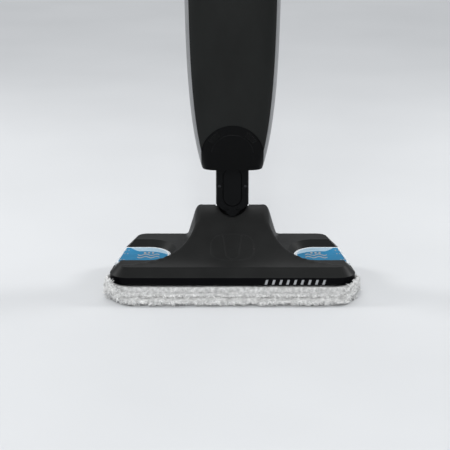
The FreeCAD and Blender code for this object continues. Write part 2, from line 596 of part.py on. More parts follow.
def make_body():
    outer, inner = body_blank(0.0), body_blank(WALL)
    floor_top = BODY_SECTIONS[0][0] + COLLAR_FLOOR
    front = box(-80, 80, -60, SEAM_Y, floor_top + SEAM_GAP, 651)
    arch, wide_arch = arch_prism(0.0, -60, SEAM_Y), arch_prism(SEAM_GAP, -60, SEAM_Y)
    panel = body_blank(0.0, PANEL_PROUD).common(panel_prism(0.0, -60, SEAM_Y).common(front))
    parts["front_shell"] = solids_over(panel.cut([wide_arch, inner]), 2000.0)
    blades = outer.common(front.cut([panel_prism(SEAM_GAP, -70, 60), wide_arch])).cut(inner)
    parts["left_blade"] = solids_over(blades.common(box(-80, -5, -60, 120, 100, 640)), 500.0)
    parts["right_blade"] = solids_over(blades.common(box(5, 80, -60, 120, 100, 640)), 500.0)

    region = arch.fuse([box(-80, 80, -60, 120, 140, floor_top),
                        box(-80, 80, SEAM_Y, 120, 140, COLLAR_REAR_Z)])
    above_floor = inner.common(box(-80, 80, -60, 120, floor_top, 300))
    mouth = neck_blank(-0.05, 140, 158)
    parts["bottom_collar"] = solids_over(outer.common(region).cut([above_floor, mouth]), 2000.0)

    side, depth = TANK_HALF + TANK_GAP, TANK_FRONT - TANK_GAP
    low, high = TANK_Z0 - TANK_GAP, TANK_Z1 + TANK_GAP
    bay_hole = box(-side, side, depth, 120, low, high)
    bay_block = box(-side - BAY_WALL, side + BAY_WALL, depth - BAY_WALL, 120, low - BAY_WALL, high + BAY_WALL)
    hollow = inner.cut(bay_block)
    rear = box(-80, 80, SEAM_Y + SEAM_GAP, 120, COLLAR_REAR_Z + SEAM_GAP, 651)
    shell = outer.common(rear).cut([hollow, bay_hole])
    shell = shell.cut(rod(OUTLET_R + 3.4, (0, TANK_FRONT - 15, OUTLET_Z), (0, 60, OUTLET_Z)))
    parts["rear_shell"] = solids_over(shell, 5000.0)


def solids_over(shape, volume):
    """The shape without slivers: only its solids over a volume, in cubic millimetres."""
    kept = [s for s in shape.Solids if s.Volume > volume]
    return kept[0] if len(kept) == 1 else Part.makeCompound(kept)


def make_tank():
    cavity = box(-TANK_HALF, TANK_HALF, TANK_FRONT, 120, TANK_Z0, TANK_Z1)
    outside = body_blank(0.0).common(cavity)
    half = TANK_HALF - TANK_WALL
    room = box(-half, half, TANK_FRONT + TANK_WALL, 120, TANK_Z0 + TANK_WALL, TANK_Z1 - TANK_WALL)
    hollow = body_blank(TANK_WALL).common(room)
    nipple = rod(OUTLET_R, (0, TANK_FRONT - 8.0, OUTLET_Z), (0, TANK_FRONT + 1.0, OUTLET_Z))
    rear = blended(CAP_Z, 3)
    neck = rod(CAP_R - 2.5, (0, rear - 6, CAP_Z), (0, rear + 0.4, CAP_Z))
    tank = outside.cut(hollow).fuse([nipple, neck])
    tank = tank.cut([rod(2.6, (0, TANK_FRONT - 9, OUTLET_Z), (0, TANK_FRONT + 4, OUTLET_Z)),
                     rod(CAP_R - 5, (0, rear - 8, CAP_Z), (0, rear + 2, CAP_Z))])
    parts["water_tank"] = solids_over(tank.removeSplitter(), 5000.0)

    rear += 0.6
    lid = rod(CAP_R, (0, rear + 0.8, CAP_Z), (0, rear + 5.2, CAP_Z))
    stem = rod(CAP_R - 5.3, (0, rear - 5, CAP_Z), (0, rear + 1.5, CAP_Z))
    grip = box(-CAP_R + 2, CAP_R - 2, rear + 5, rear + 8.2, CAP_Z - 2, CAP_Z + 2)
    lid = lid.makeFillet(1.0, [e for e in lid.Edges if abs(e.BoundBox.YMin - rear - 5.2) < 0.01])
    notches = [rod(1.4, (CAP_R * math.cos(a), rear, CAP_Z + CAP_R * math.sin(a)),
                   (CAP_R * math.cos(a), rear + 9, CAP_Z + CAP_R * math.sin(a)))
               for a in (math.radians(22.5 * i) for i in range(16))]
    parts["tank_cap"] = lid.fuse([stem, grip]).cut(notches).removeSplitter()

    depth = TANK_FRONT - 17.0
    socket = pipe(OUTLET_R + 3.4, OUTLET_R + 0.9, (0, depth + 4, OUTLET_Z), (0, depth + 16, OUTLET_Z))
    spout = pipe(OUTLET_R + 3.4, 2.6, (0, depth, OUTLET_Z), (0, depth + 4, OUTLET_Z))
    parts["tank_coupling"] = socket.fuse(spout).removeSplitter()
    parts["coupling_seal"] = pipe(OUTLET_R + 0.9, OUTLET_R + 0.1,
                                  (0, depth + 10, OUTLET_Z), (0, depth + 12.5, OUTLET_Z))


def make_latch():
    """The button over the tank that lets it go; it is pressed inwards."""
    z = TANK_Z1 + 16.0
    rear = blended(z, 3)
    corners = ((-13.0, z - 7, 3.0), (13.0, z - 7, 3.0), (13.0, z + 7, 3.0), (-13.0, z + 7, 3.0))
    hole = tuple((a + math.copysign(0.4, a), b + math.copysign(0.4, b - z), r) for a, b, r in corners)
    button = extrude_face(rounded_wire(corners, lambda a, b: Vector(a, rear - 9, b)), (0, 10.4, 0))
    parts["tank_latch"] = button.makeFillet(1.2, [e for e in button.Edges if e.BoundBox.YMin > rear + 1.3])
    opening = extrude_face(rounded_wire(hole, lambda a, b: Vector(a, rear - 12, b)), (0, 30, 0))
    parts["rear_shell"] = parts["rear_shell"].cut(opening)
    parts["latch_spring"] = spring(3.2, 0.45, 1.8, 5.4, (0, rear - 12.8, z), (0, -1, 0))
    plate_y = rear - 21.5
    guide = box(-18, 18, plate_y, plate_y + 2.4, TANK_Z1 + TANK_GAP + BAY_WALL - 0.5, z + 9)
    parts["rear_shell"] = parts["rear_shell"].fuse(guide).removeSplitter()


def make_works():
    """Boiler, pump, board and the pipes between them, inside the body."""
    y = PIVOT_Y - 9.0            # depth of the middle of the works
    block = Part.makeBox(62, 40, 62, Vector(-31, y - 20, 178))
    block = block.makeFillet(6.0, block.Edges)
    port = rod(4.2, (0, PIVOT_Y, 170), (0, PIVOT_Y, 186))
    feed = rod(HOSE_R, (14, y, 232), (14, y, 250))
    fins = [box(-32, 32, y - 21.0, y - 18.8, 190 + 8 * i, 193 + 8 * i) for i in range(6)]
    studs = [rod(4.0, (x, y - 8, 236), (x, y - 8, 258)) for x in (-20.0, 0.0)]
    parts["boiler"] = block.cut([port, feed] + fins + studs)
    parts["heating_element"] = group(studs)
    parts["thermostat"] = rod(8.0, (-38, y, 208), (-31, y, 208)).fuse(
        box(-40, -38, y - 4, y + 4, 204, 212)).removeSplitter()

    casing = rod(16.0, (PUMP_X, y, 300), (PUMP_X, y, 352)).fuse(box(-36, 0, y - 16, y + 16, 308, 344))
    bores = [rod(5.0, (PUMP_X, y, 306), (PUMP_X, y, 353)), rod(4.0, (PUMP_X, y, 290), (PUMP_X, y, 303)),
             rod(2.4, (PUMP_X, y, 290), (PUMP_X, y, 310))]
    parts["pump_body"] = casing.cut(bores).removeSplitter()
    parts["pump_plunger"] = rod(4.9, (PUMP_X, y, 318), (PUMP_X, y, 344))
    parts["pump_cap"] = pipe(16.0, 2.4, (PUMP_X, y, 352), (PUMP_X, y, 357)).cut(
        rod(4.0, (PUMP_X, y, 355), (PUMP_X, y, 358)))
    inlet = ((0, TANK_FRONT - 17, OUTLET_Z), (0, y - 7, OUTLET_Z), (PUMP_X, y - 7, 276),
             (PUMP_X, y, 288), (PUMP_X, y, 303))
    outlet = ((PUMP_X, y, 355), (PUMP_X, y, 376), (16, y, 380), (24, y, 356), (24, y, 300),
              (14, y, 268), (14, y, 232))
    parts["inlet_hose"] = bent_tube(inlet, HOSE_R, HOSE_BORE)
    parts["boiler_hose"] = bent_tube(outlet, HOSE_R, HOSE_BORE)
    board = box(-30, 30, y + 3, y + 4.6, 396, 470)
    chips = [box(-20, -4, y - 5, y + 3, 406, 422), box(6, 18, y - 7, y + 3, 404, 428),
             rod(5, (-10, y + 3, 446), (-10, y - 11, 446)), box(4, 22, y - 3, y + 3, 444, 460)]
    parts["control_board"] = board.fuse(chips).removeSplitter()


def make_controls():
    """The rocker switch and the ready lamp, high on the front panel."""
    z = SWITCH_Z
    front = blended(z, 2) - PANEL_PROUD
    window = box(-7.3, 7.3, front - 20, front + 14, z - 11.4, z + 11.4)
    parts["front_shell"] = parts["front_shell"].cut(window)
    axle = front + 5.0
    rocker = rod(11.0, (-6.9, axle, z), (6.9, axle, z))
    rocker = rocker.common(box(-8, 8, front - 20, front + 7.5, z - 10, z + 10))
    rocker = rocker.cut(rod(30.0, (-8, front - 33.6, z), (8, front - 33.6, z)))
    rocker.rotate(Vector(0, axle, z), Vector(1, 0, 0), -SWITCH_REST)
    parts["power_switch"] = rocker
    lamp_y = blended(LAMP_Z, 2) - PANEL_PROUD
    hole = rod(3.3, (0, lamp_y - 5, LAMP_Z), (0, lamp_y + 6, LAMP_Z))
    parts["front_shell"] = parts["front_shell"].cut(hole)
    parts["ready_lamp"] = rod(3.2, (0, lamp_y - 0.6, LAMP_Z), (0, lamp_y + 5, LAMP_Z))


# ---- Pole and handle -----------------------------------------------------------------------------
def make_pole():
    parts["pole"] = pipe(POLE_R, POLE_R - POLE_WALL, (0, PIVOT_Y, POLE_Z0), (0, PIVOT_Y, POLE_Z1))
    low = cone(19.3, 17.0, (0, PIVOT_Y, 650.4), (0, PIVOT_Y, COLLAR_TOP))
    ring = low.makeFillet(1.6, [e for e in low.Edges if e.BoundBox.ZMin > COLLAR_TOP - 0.1])
    sleeve = rod(15.0, (0, PIVOT_Y, POLE_Z0 - 2), (0, PIVOT_Y, 651.0))
    bore = rod(POLE_R, (0, PIVOT_Y, POLE_Z0), (0, PIVOT_Y, 700))
    passage = rod(6.0, (0, PIVOT_Y, POLE_Z0 - 3), (0, PIVOT_Y, POLE_Z0 + 1))
    button_hole = rod(5.6, (0, PIVOT_Y - 25, 663), (0, PIVOT_Y, 663))
    parts["pole_collar"] = ring.fuse(sleeve).cut([bore, passage, button_hole])
    parts["pole"] = parts["pole"].cut(rod(5.6, (0, PIVOT_Y - 25, 663), (0, PIVOT_Y, 663)))
    button = rod(5.2, (0, PIVOT_Y - 19.2, 663), (0, PIVOT_Y - 8.5, 663))
    parts["pole_lock"] = button.makeFillet(1.2, [e for e in button.Edges if e.BoundBox.YMax < PIVOT_Y - 19.1])


def loop_prism(half_depth, half_height, x0, x1, z_shift=0.0):
    centre = Vector(x0, LOOP_Y, LOOP_Z + z_shift)
    curve = Part.Ellipse(centre + Vector(0, 0, half_height), centre + Vector(0, half_depth, 0), centre)
    return Part.Face(Part.Wire(curve.toShape())).extrude(Vector(x1 - x0, 0, 0))


def make_handle():
    body = loop_prism(*LOOP_OUT, -LOOP_HALF_X, LOOP_HALF_X).cut(loop_prism(*LOOP_IN, -30, 30, 4.0))
    body = body.makeFillet(LOOP_ROUND, [e for e in body.Edges if e.BoundBox.XLength < 0.1])
    stem = cone(15.5, 17.5, (0, PIVOT_Y, 992.0), (0, PIVOT_Y, 1028.0))
    body = body.fuse(stem)
    hollow = loop_prism(LOOP_OUT[0] - 3, LOOP_OUT[1] - 3, -LOOP_HALF_X + 3, LOOP_HALF_X - 3).cut(
        loop_prism(LOOP_IN[0] + 3, LOOP_IN[1] + 3, -30, 30, 4.0))
    hollow = hollow.makeFillet(6.0, [e for e in hollow.Edges if e.BoundBox.XLength < 0.1])
    body = body.cut([hollow, rod(POLE_R, (0, PIVOT_Y, 980), (0, PIVOT_Y, POLE_Z1 + 0.5))])
    y_in, slot_z = LOOP_Y + LOOP_IN[0], LOOP_Z + 20.0
    body = body.cut(box(-6.4, 6.4, y_in - 12, y_in + 9, slot_z - 19, slot_z + 19))
    grip_zone = box(-40, 40, LOOP_Y + 18, LOOP_Y + 80, LOOP_Z - 52, LOOP_Z + 58)
    skin_out = loop_prism(*LOOP_OUT, -LOOP_HALF_X, LOOP_HALF_X)
    skin_out = skin_out.makeFillet(LOOP_ROUND, [e for e in skin_out.Edges if e.BoundBox.XLength < 0.1])
    skin_in = loop_prism(LOOP_OUT[0] - 1.6, LOOP_OUT[1] - 1.6, -LOOP_HALF_X - 5, LOOP_HALF_X + 5)
    grip = skin_out.cut(skin_in).common(grip_zone)
    parts["grip_inlay"] = solids_over(grip, 100.0)
    body = body.cut(grip_zone.cut(skin_in))

    pivot = (y_in + 3.0, slot_z + 14.5)
    lever = box(-5.8, 5.8, y_in - 5.5, y_in + 6.0, slot_z - 17, slot_z + 17.5)
    lever = lever.makeFillet(3.0, [e for e in lever.Edges if e.BoundBox.YMax < y_in - 5])
    lever = lever.cut(box(-7, 7, y_in + 1.0, y_in + 12, slot_z - 30, slot_z + 7))
    lever = lever.cut(rod(1.5 + RUNNING, (-10, *pivot), (10, *pivot)))
    parts["steam_trigger"] = lever
    parts["trigger_pin"] = rod(1.5, (-9.0, *pivot), (9.0, *pivot))
    parts["micro_switch"] = box(-5.5, 5.5, y_in + 8.0, y_in + 15.0, slot_z - 16, slot_z - 2).fuse(
        box(-1.5, 1.5, y_in + 4.2, y_in + 8.2, slot_z - 12, slot_z - 9)).removeSplitter()
    parts["trigger_spring"] = spring(2.4, 0.4, 1.4, 4.0, (0, y_in + 3.2, slot_z + 1), (0, 1, 0))
    bosses = [rod(3.4, (side * 12.5, *pivot), (side * 6.6, *pivot)) for side in (-1, 1)]
    holes = [parts["trigger_pin"]]
    for y, z in HANDLE_SCREWS:
        bosses.append(rod(4.4, (-LOOP_HALF_X + 2.5, y, z), (LOOP_HALF_X - 2.5, y, z)))
        holes += [rod(2.9, (LOOP_HALF_X - 6.0, y, z), (LOOP_HALF_X + 5, y, z)),
                  rod(1.4, (LOOP_HALF_X - 18.0, y, z), (LOOP_HALF_X, y, z))]
        fasteners.append(screw((LOOP_HALF_X - 4.0, y, z), (-1, 0, 0), 12.0, 2.9, 1.4))
    body = body.fuse(bosses).cut(holes)
    parts["handle_left_shell"] = solids_over(body.common(box(-40, 0, -60, 120, 900, 1300)), 1000.0)
    parts["handle_right_shell"] = solids_over(body.common(box(0, 40, -60, 120, 900, 1300)), 1000.0)


def hook_blank(y0, z, up, arm):
    """An L-shaped cord hook that stands out to the rear from y0, its lip pointing up or down."""
    stalk = box(-6, 6, y0, y0 + 22, z - 3, z + 3)
    low, high = (z - 3, z + arm) if up else (z - arm, z + 3)
    lip = box(-11, 11, y0 + 17, y0 + 22, low, high)
    hook = stalk.fuse(lip).removeSplitter()
    return hook.makeFillet(1.5, hook.Edges)


def make_hooks():
    rear = blended(HOOK_Z_LOW, 3)
    low = hook_blank(rear - 3.0, HOOK_Z_LOW, False, 22.0)
    inner = body_blank(0.0)
    parts["lower_cord_hook"] = low.cut(inner)
    sleeve = pipe(16.0, POLE_R, (0, PIVOT_Y, HOOK_Z_HIGH - 13), (0, PIVOT_Y, HOOK_Z_HIGH + 13))
    sleeve = sleeve.makeFillet(1.5, [e for e in sleeve.Edges if e.Length > 95])
    seat = rod(8.0, (0, PIVOT_Y + 8, HOOK_Z_HIGH), (0, PIVOT_Y + 19, HOOK_Z_HIGH))
    spindle = rod(3.0 + RUNNING, (0, PIVOT_Y + 10, HOOK_Z_HIGH), (0, PIVOT_Y + 25, HOOK_Z_HIGH))
    sleeve = sleeve.fuse(seat).cut([rod(POLE_R, (0, PIVOT_Y, 900), (0, PIVOT_Y, 1050)), spindle])
    parts["hook_sleeve"] = sleeve.removeSplitter()
    turning = hook_blank(PIVOT_Y + 19.4, HOOK_Z_HIGH, True, 24.0)
    base = rod(8.0, (0, PIVOT_Y + 19.4, HOOK_Z_HIGH), (0, PIVOT_Y + 23, HOOK_Z_HIGH))
    spigot = rod(3.0, (0, PIVOT_Y + 13.5, HOOK_Z_HIGH), (0, PIVOT_Y + 20, HOOK_Z_HIGH))
    parts["upper_cord_hook"] = turning.fuse([base, spigot]).removeSplitter()


def make_gland():
    """The bush where the mains lead enters the rear of the body."""
    rear = blended(GLAND_Z, 3)
    flange = rod(8.5, (0, rear + 0.3, GLAND_Z), (0, rear + 3.0, GLAND_Z))
    nose = cone(7.0, 5.6, (0, rear + 3.0, GLAND_Z), (0, rear + 17.0, GLAND_Z))
    stub = rod(6.4, (0, rear - 4.0, GLAND_Z), (0, rear + 0.3, GLAND_Z))
    gland = flange.fuse([nose, stub])
    ribs = [pipe(8.0, 5.4, (0, rear + y, GLAND_Z), (0, rear + y + 1.2, GLAND_Z))
            for y in (5.0, 8.0, 11.0, 14.0)]
    gland = gland.cut(ribs).cut(rod(3.6, (0, rear - 5, GLAND_Z), (0, rear + 20, GLAND_Z)))
    parts["cord_gland"] = gland.removeSplitter()
    hole = rod(6.4, (0, rear - 12, GLAND_Z), (0, rear + 20, GLAND_Z))
    seat = rod(8.5, (0, rear + 0.3, GLAND_Z), (0, rear + 20, GLAND_Z))
    parts["rear_shell"] = parts["rear_shell"].cut([hole, seat])


def make_body_screws():
    posts, holes = [], []
    for x, z in ((-27.0, 232.0), (27.0, 232.0), (-27.0, 500.0), (27.0, 500.0)):
        rear = blended(z, 3)
        posts.append(rod(5.0, (x, rear - 17, z), (x, rear - 1.5, z)))
        holes += [rod(3.2, (x, rear - 8.0, z), (x, rear + 10, z)),
                  rod(1.6, (x, rear - 22.0, z), (x, rear, z))]
        fasteners.append(screw((x, rear - 6.0, z), (0, -1, 0), 14.0, 3.2, 1.6))
    parts["rear_shell"] = parts["rear_shell"].fuse(posts).cut(holes)
    parts["screws"] = group(fasteners)


def main():
    make_pad()
    make_sole()
    make_tray()
    make_cover()
    make_bracket()
    make_head_screws()
    make_badge()
    make_pedals()
    make_knuckle()
    make_neck()
    make_body()
    make_tank()
    make_latch()
    make_works()
    make_controls()
    make_pole()
    make_handle()
    make_hooks()
    make_gland()
    make_body_screws()
    os.makedirs("parts", exist_ok=True)
    for name, shape in sorted(parts.items()):
        shape.exportStep(f"parts/{name}.step")
        print(f"{name:20s} solids {len(shape.Solids)} volume {shape.Volume:10.1f} valid {shape.isValid()}")
    print(len(parts), "nodes")


main()
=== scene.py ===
"""Steam mop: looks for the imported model. Lower front view, pale studio."""

import math
import random

import bmesh
import bpy
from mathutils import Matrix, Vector, noise
from mathutils.bvhtree import BVHTree


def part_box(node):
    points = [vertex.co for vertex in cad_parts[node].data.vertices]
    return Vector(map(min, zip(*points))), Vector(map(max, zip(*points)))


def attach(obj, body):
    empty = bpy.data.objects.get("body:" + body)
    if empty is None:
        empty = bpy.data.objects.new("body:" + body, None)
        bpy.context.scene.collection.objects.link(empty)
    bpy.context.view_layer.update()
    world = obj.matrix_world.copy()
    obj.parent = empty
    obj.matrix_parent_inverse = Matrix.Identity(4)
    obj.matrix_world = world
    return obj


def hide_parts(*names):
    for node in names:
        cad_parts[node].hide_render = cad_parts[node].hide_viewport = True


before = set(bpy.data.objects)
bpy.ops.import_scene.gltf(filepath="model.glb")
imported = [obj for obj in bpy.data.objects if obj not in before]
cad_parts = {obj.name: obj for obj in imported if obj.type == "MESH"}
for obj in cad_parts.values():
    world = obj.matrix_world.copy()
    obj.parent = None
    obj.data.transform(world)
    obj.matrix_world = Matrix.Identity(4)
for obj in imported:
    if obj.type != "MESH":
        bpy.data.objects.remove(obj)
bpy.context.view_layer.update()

SEED = 7
AIM = Vector((-0.009, 0.007, 0.0722))      # point that the camera looks at
DISTANCE = 1.70
ELEVATION = math.radians(16.0)
LENS = 110.24
CLIP_END = 50.0
FORWARD, DOWN, UP = Vector((0, 1, 0)), Vector((0, 0, -1)), Vector((0, 0, 1))
IN_FRONT = -0.2                            # a depth in front of the neck and the body


# ---- Camera -----------------------------------------------------------------
def add_camera():
    data = bpy.data.cameras.new("camera")
    data.lens = LENS
    data.clip_end = CLIP_END
    camera = bpy.data.objects.new("camera", data)
    forward = Vector((0.0, math.cos(ELEVATION), -math.sin(ELEVATION)))
    camera.location = AIM - forward * DISTANCE
    camera.rotation_euler = (math.pi / 2 - ELEVATION, 0.0, 0.0)
    bpy.context.collection.objects.link(camera)
    bpy.context.scene.camera = camera


add_camera()


# ---- Materials --------------------------------------------------------------
NOISE_LOW, NOISE_HIGH = 0.3, 0.7           # the part of 0 to 1 that a noise texture mostly covers


class Shader:
    """A Principled material and short ways to hang procedural detail on it."""

    def __init__(self, name, **values):
        self.material = bpy.data.materials.new(name)
        self.material.use_nodes = True
        self.tree = self.material.node_tree
        self.bsdf = self.tree.nodes["Principled BSDF"]
        for key, value in values.items():
            self.bsdf.inputs[key.replace("_", " ")].default_value = value
        self.coords = self.tree.nodes.new("ShaderNodeTexCoord").outputs["Object"]
        self.normal = None

    def node(self, kind, **values):
        made = self.tree.nodes.new(kind)
        for key, value in values.items():
            if key in made.inputs:
                made.inputs[key].default_value = value
            else:
                setattr(made, key, value)
        return made

    def link(self, source, target):
        self.tree.links.new(source, target)

    def noise(self, scale, detail=3.0, rough=0.5, stretch=None):
        made = self.node("ShaderNodeTexNoise", Scale=scale, Detail=detail, Roughness=rough)
        self.link(self.placed(stretch), made.inputs["Vector"])
        return made.outputs["Fac"]

    def cells(self, scale):
        made = self.node("ShaderNodeTexVoronoi", Scale=scale)
        self.link(self.coords, made.inputs["Vector"])
        return made.outputs["Distance"]

    def placed(self, stretch):
        if stretch is None:
            return self.coords
        mapping = self.node("ShaderNodeMapping")
        mapping.inputs["Scale"].default_value = stretch
        self.link(self.coords, mapping.inputs["Vector"])
        return mapping.outputs["Vector"]

    def colour(self, factor, low, high, start=NOISE_LOW, end=NOISE_HIGH):
        """Base colour that runs from low to high with the factor."""
        made = self.node("ShaderNodeValToRGB")
        stops = ((start, low), (end, high))
        for element, (position, colour) in zip(made.color_ramp.elements, stops):
            element.position = position
            element.color = (*colour, 1.0)
        self.link(factor, made.inputs["Fac"])
        self.link(made.outputs["Color"], self.bsdf.inputs["Base Color"])

    def roughness(self, factor, low, high):
        made = self.node("ShaderNodeMapRange", **{
            "From Min": NOISE_LOW, "From Max": NOISE_HIGH, "To Min": low, "To Max": high})
        self.link(factor, made.inputs["Value"])
        self.link(made.outputs["Result"], self.bsdf.inputs["Roughness"])

    def bump(self, height, strength, distance):
        made = self.node("ShaderNodeBump", Strength=strength, Distance=distance)
        self.link(height, made.inputs["Height"])
        if self.normal is not None:
            self.link(self.normal, made.inputs["Normal"])
        self.normal = made.outputs["Normal"]
        self.link(self.normal, self.bsdf.inputs["Normal"])


def shade(colour, factor):
    return tuple(min(1.0, c * factor) for c in colour)


def moulded(name, colour, rough=(0.36, 0.46), grain=2600.0, vary=0.16, **values):
    """Moulded plastic: fine spark-eroded grain, faint flow marks, slightly uneven gloss."""
    s = Shader(name, **values)
    flow = s.noise(22.0, detail=4.0, rough=0.55, stretch=(1.0, 1.0, 0.45))
    s.colour(flow, shade(colour, 1 - vary), shade(colour, 1 + vary))
    s.roughness(s.noise(85.0, detail=5.0, rough=0.6), *rough)
    s.bump(s.noise(grain, detail=2.0, rough=0.6), strength=0.55, distance=0.00003)
    s.bump(s.noise(48.0, detail=2.0, rough=0.4), strength=0.12, distance=0.0004)
    return s.material


def polished(name, colour, rough=(0.08, 0.16), **values):
    """Gloss plastic: smooth, with hair-fine wiping marks and dust in the gloss only."""
    s = Shader(name, **values)
    s.colour(s.noise(30.0), shade(colour, 0.90), shade(colour, 1.10))
    wiped = s.noise(240.0, detail=6.0, rough=0.7, stretch=(0.15, 1.0, 1.0))
    s.roughness(wiped, *rough)
    s.bump(s.noise(34.0, detail=2.0, rough=0.4), strength=0.10, distance=0.0005)
    return s.material


def metallic(name, colour, rough=(0.22, 0.34), along=(1.0, 1.0, 0.03), **values):
    """Drawn or plated metal with fine lines along one direction."""
    s = Shader(name, Metallic=1.0, **values)
    lines = s.noise(3200.0, rough=0.6, stretch=along)
    s.colour(s.noise(60.0, detail=4.0), shade(colour, 0.9), shade(colour, 1.06))
    s.roughness(lines, *rough)
    s.bump(lines, strength=0.4, distance=0.00002)
    return s.material


def rubber(name, colour):
    """Matt rubber: dull, slightly dusty, with a fine grain."""
    s = Shader(name, Specular_IOR_Level=0.35)
    s.colour(s.noise(120.0, detail=5.0, rough=0.65), shade(colour, 0.75), shade(colour, 1.3))
    s.roughness(s.noise(300.0, detail=4.0), 0.55, 0.72)
    s.bump(s.noise(1900.0, rough=0.6), strength=0.5, distance=0.00005)
    return s.material


# ---- Helpers for shapes -----------------------------------------------------
FLUFF_OCTAVES, FLUFF_FALL = 2, 0.55        # each octave is this share of the one before
RAY_START = 0.5                            # metres outside the surface that a ray looks for
RIDGE_STEP, RIDGE_SHOULDER = 0.6, 0.75     # foot's depth and shoulder's height; its width


def fluff(point, scale):
    """Noise in two octaves, about nought."""
    total, size = 0.0, 1.0
    for i in range(FLUFF_OCTAVES):
        total += size * noise.noise(point * scale * 2.0 ** i)
        size *= FLUFF_FALL
    return total


def smooth(t):
    t = min(1.0, max(0.0, t))
    return t * t * (3 - 2 * t)


def mix(a, b, share):
    return a + (b - a) * share


def mesh_object(name, vertices, faces, material, smooth_faces=True):
    mesh = bpy.data.meshes.new(name)
    mesh.from_pydata(vertices, [], faces)
    mesh.update()
    for polygon in mesh.polygons:
        polygon.use_smooth = smooth_faces
    mesh.materials.append(material)
    made = bpy.data.objects.new(name, mesh)
    bpy.context.collection.objects.link(made)
    return made


def surface_of(name):
    """The surface of a CAD node, for finding points on it."""
    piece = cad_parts[name]
    mesh = bmesh.new()
    mesh.from_mesh(piece.data)
    mesh.transform(piece.matrix_world)
    tree = BVHTree.FromBMesh(mesh)
    mesh.free()
    return tree


def on_surface(tree, point, direction):
    """Where a ray from well outside meets the surface, and the surface's normal there."""
    place, normal, _, _ = tree.ray_cast(point - direction * RAY_START, direction)
    assert place is not None, point
    return place, normal if normal.dot(direction) < 0 else -normal


def ridge(vertices, faces, path, normals, width, height, closed=False):
    """A low rounded ridge, five points across, along a path on a surface, sunk slightly into it."""
    start, count = len(vertices), len(path)
    for i, (point, normal) in enumerate(zip(path, normals)):
        ahead = path[(i + 1) % count] if closed or i + 1 < count else point
        behind = path[i - 1] if closed or i > 0 else point
        side = (ahead - behind).cross(normal).normalized() * (width / 2)
        lift = normal * height
        shoulder, part = side * RIDGE_SHOULDER, lift * RIDGE_STEP
        vertices += [point - side - part, point - shoulder + part, point + lift,
                     point + shoulder + part, point + side - part]
    for i in range(count if closed else count - 1):
        low, high = start + 5 * i, start + 5 * ((i + 1) % count)
        faces += [(low + k, high + k, high + k + 1, low + k + 1) for k in range(4)]
        faces.append((low + 4, high + 4, high, low))
    if not closed:
        last = start + 5 * (count - 1)
        faces += [tuple(start + k for k in range(5)), tuple(last + k for k in reversed(range(5)))]


def ridges_on(name, node, lines, direction, width, height, material, body):
    """One piece made of ridges on a CAD node; lines are lists of points in front of its surface."""
    tree = surface_of(node)
    vertices, faces = [], []
    for line in lines:
        found = [on_surface(tree, Vector(point), direction) for point in line]
        ridge(vertices, faces, [f[0] for f in found], [f[1] for f in found], width, height)
    return fitted(mesh_object(name, vertices, faces, material), body)


def fitted(piece, body):
    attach(piece, body)
    return piece


def slab(vertices, faces, outline, low, high):
    """A flat plate between two heights; its outline of (x, y) points runs anticlockwise."""
    start, count = len(vertices), len(outline)
    vertices += [(x, y, low) for x, y in outline] + [(x, y, high) for x, y in outline]
    faces.append(tuple(start + i for i in reversed(range(count))))
    faces.append(tuple(start + count + i for i in range(count)))
    for i in range(count):
        j = (i + 1) % count
        faces.append((start + i, start + j, start + count + j, start + count + i))


def upright_slab(vertices, faces, outline, near, far):
    """A plate that stands between two depths, with a closed outline of (x, z) points."""
    flat, flat_faces = [], []
    slab(flat, flat_faces, outline, near, far)
    start = len(vertices)
    vertices += [(x, depth, z) for x, z, depth in flat]
    faces += [tuple(start + k for k in face[::-1]) for face in flat_faces]


def ribbon(path, width):
    """The outline of a band along an open path of (x, y) points, of even width in y."""
    return [(x, y - width / 2) for x, y in path] + [(x, y + width / 2) for x, y in reversed(path)]


OVAL_POINTS = 16


def oval(x, y, half_x, half_y):
    turns = [2 * math.pi * i / OVAL_POINTS for i in range(OVAL_POINTS)]
    return [(x + half_x * math.cos(a), y + half_y * math.sin(a)) for a in turns]


# ---- Mop pad ----------------------------------------------------------------
PAD_HALF_DEPTH = 0.087
PAD_FRONT_HALF = 0.1575
PAD_REAR_HALF = 0.1405
PAD_CORNERS = (0.034, 0.038)               # radius in front, radius behind
#            in front and behind: inset and height; at the sides: inset and height; depth of the pile
PAD_PROFILE = ((0.0160, 0.0010, 0.0160, 0.0010, 0.2), (0.0080, 0.0005, 0.0080, 0.0005, 0.6),
               (0.0016, 0.0010, 0.0040, 0.0014, 1.0), (-0.0020, 0.0026, 0.0022, 0.0036, 1.0),
               (-0.0040, 0.0050, 0.0010, 0.0078, 1.0), (-0.0030, 0.0074, 0.0006, 0.0130, 1.0),
               (0.0012, 0.0082, 0.0008, 0.0176, 0.8), (0.0050, 0.0088, 0.0012, 0.0212, 0.3),
               (0.0036, 0.0104, 0.0022, 0.0244, 0.8), (0.0042, 0.0124, 0.0036, 0.0254, 0.7),
               (0.0066, 0.0136, 0.0050, 0.0236, 0.2), (0.0084, 0.0144, 0.0060, 0.0214, 0.0),
               (0.0100, 0.0192, 0.0100, 0.0197, 0.0), (0.0200, 0.0180, 0.0200, 0.0180, 0.0),
               (0.0235, 0.0165, 0.0235, 0.0165, 0.0))
PROFILE_STEPS = 3                          # rings from one row of the profile to the next
PAD_SPACING = 0.0014                       # between points round the body's edge
LUMP_SIZE, LUMP_SCALE = 0.0024, 90.0       # broad lumps of the pile
KNOT_SIZE, KNOT_SCALE = 0.0011, 330.0      # small knots on the lumps
HEM_SIZE, HEM_SCALE = 0.0003, 60.0         # faint waves where the pad has no pile
PAD_FLOOR, FIBRE_FLOOR = 0.0004, 0.0003    # lowest heights of the body and of a fibre


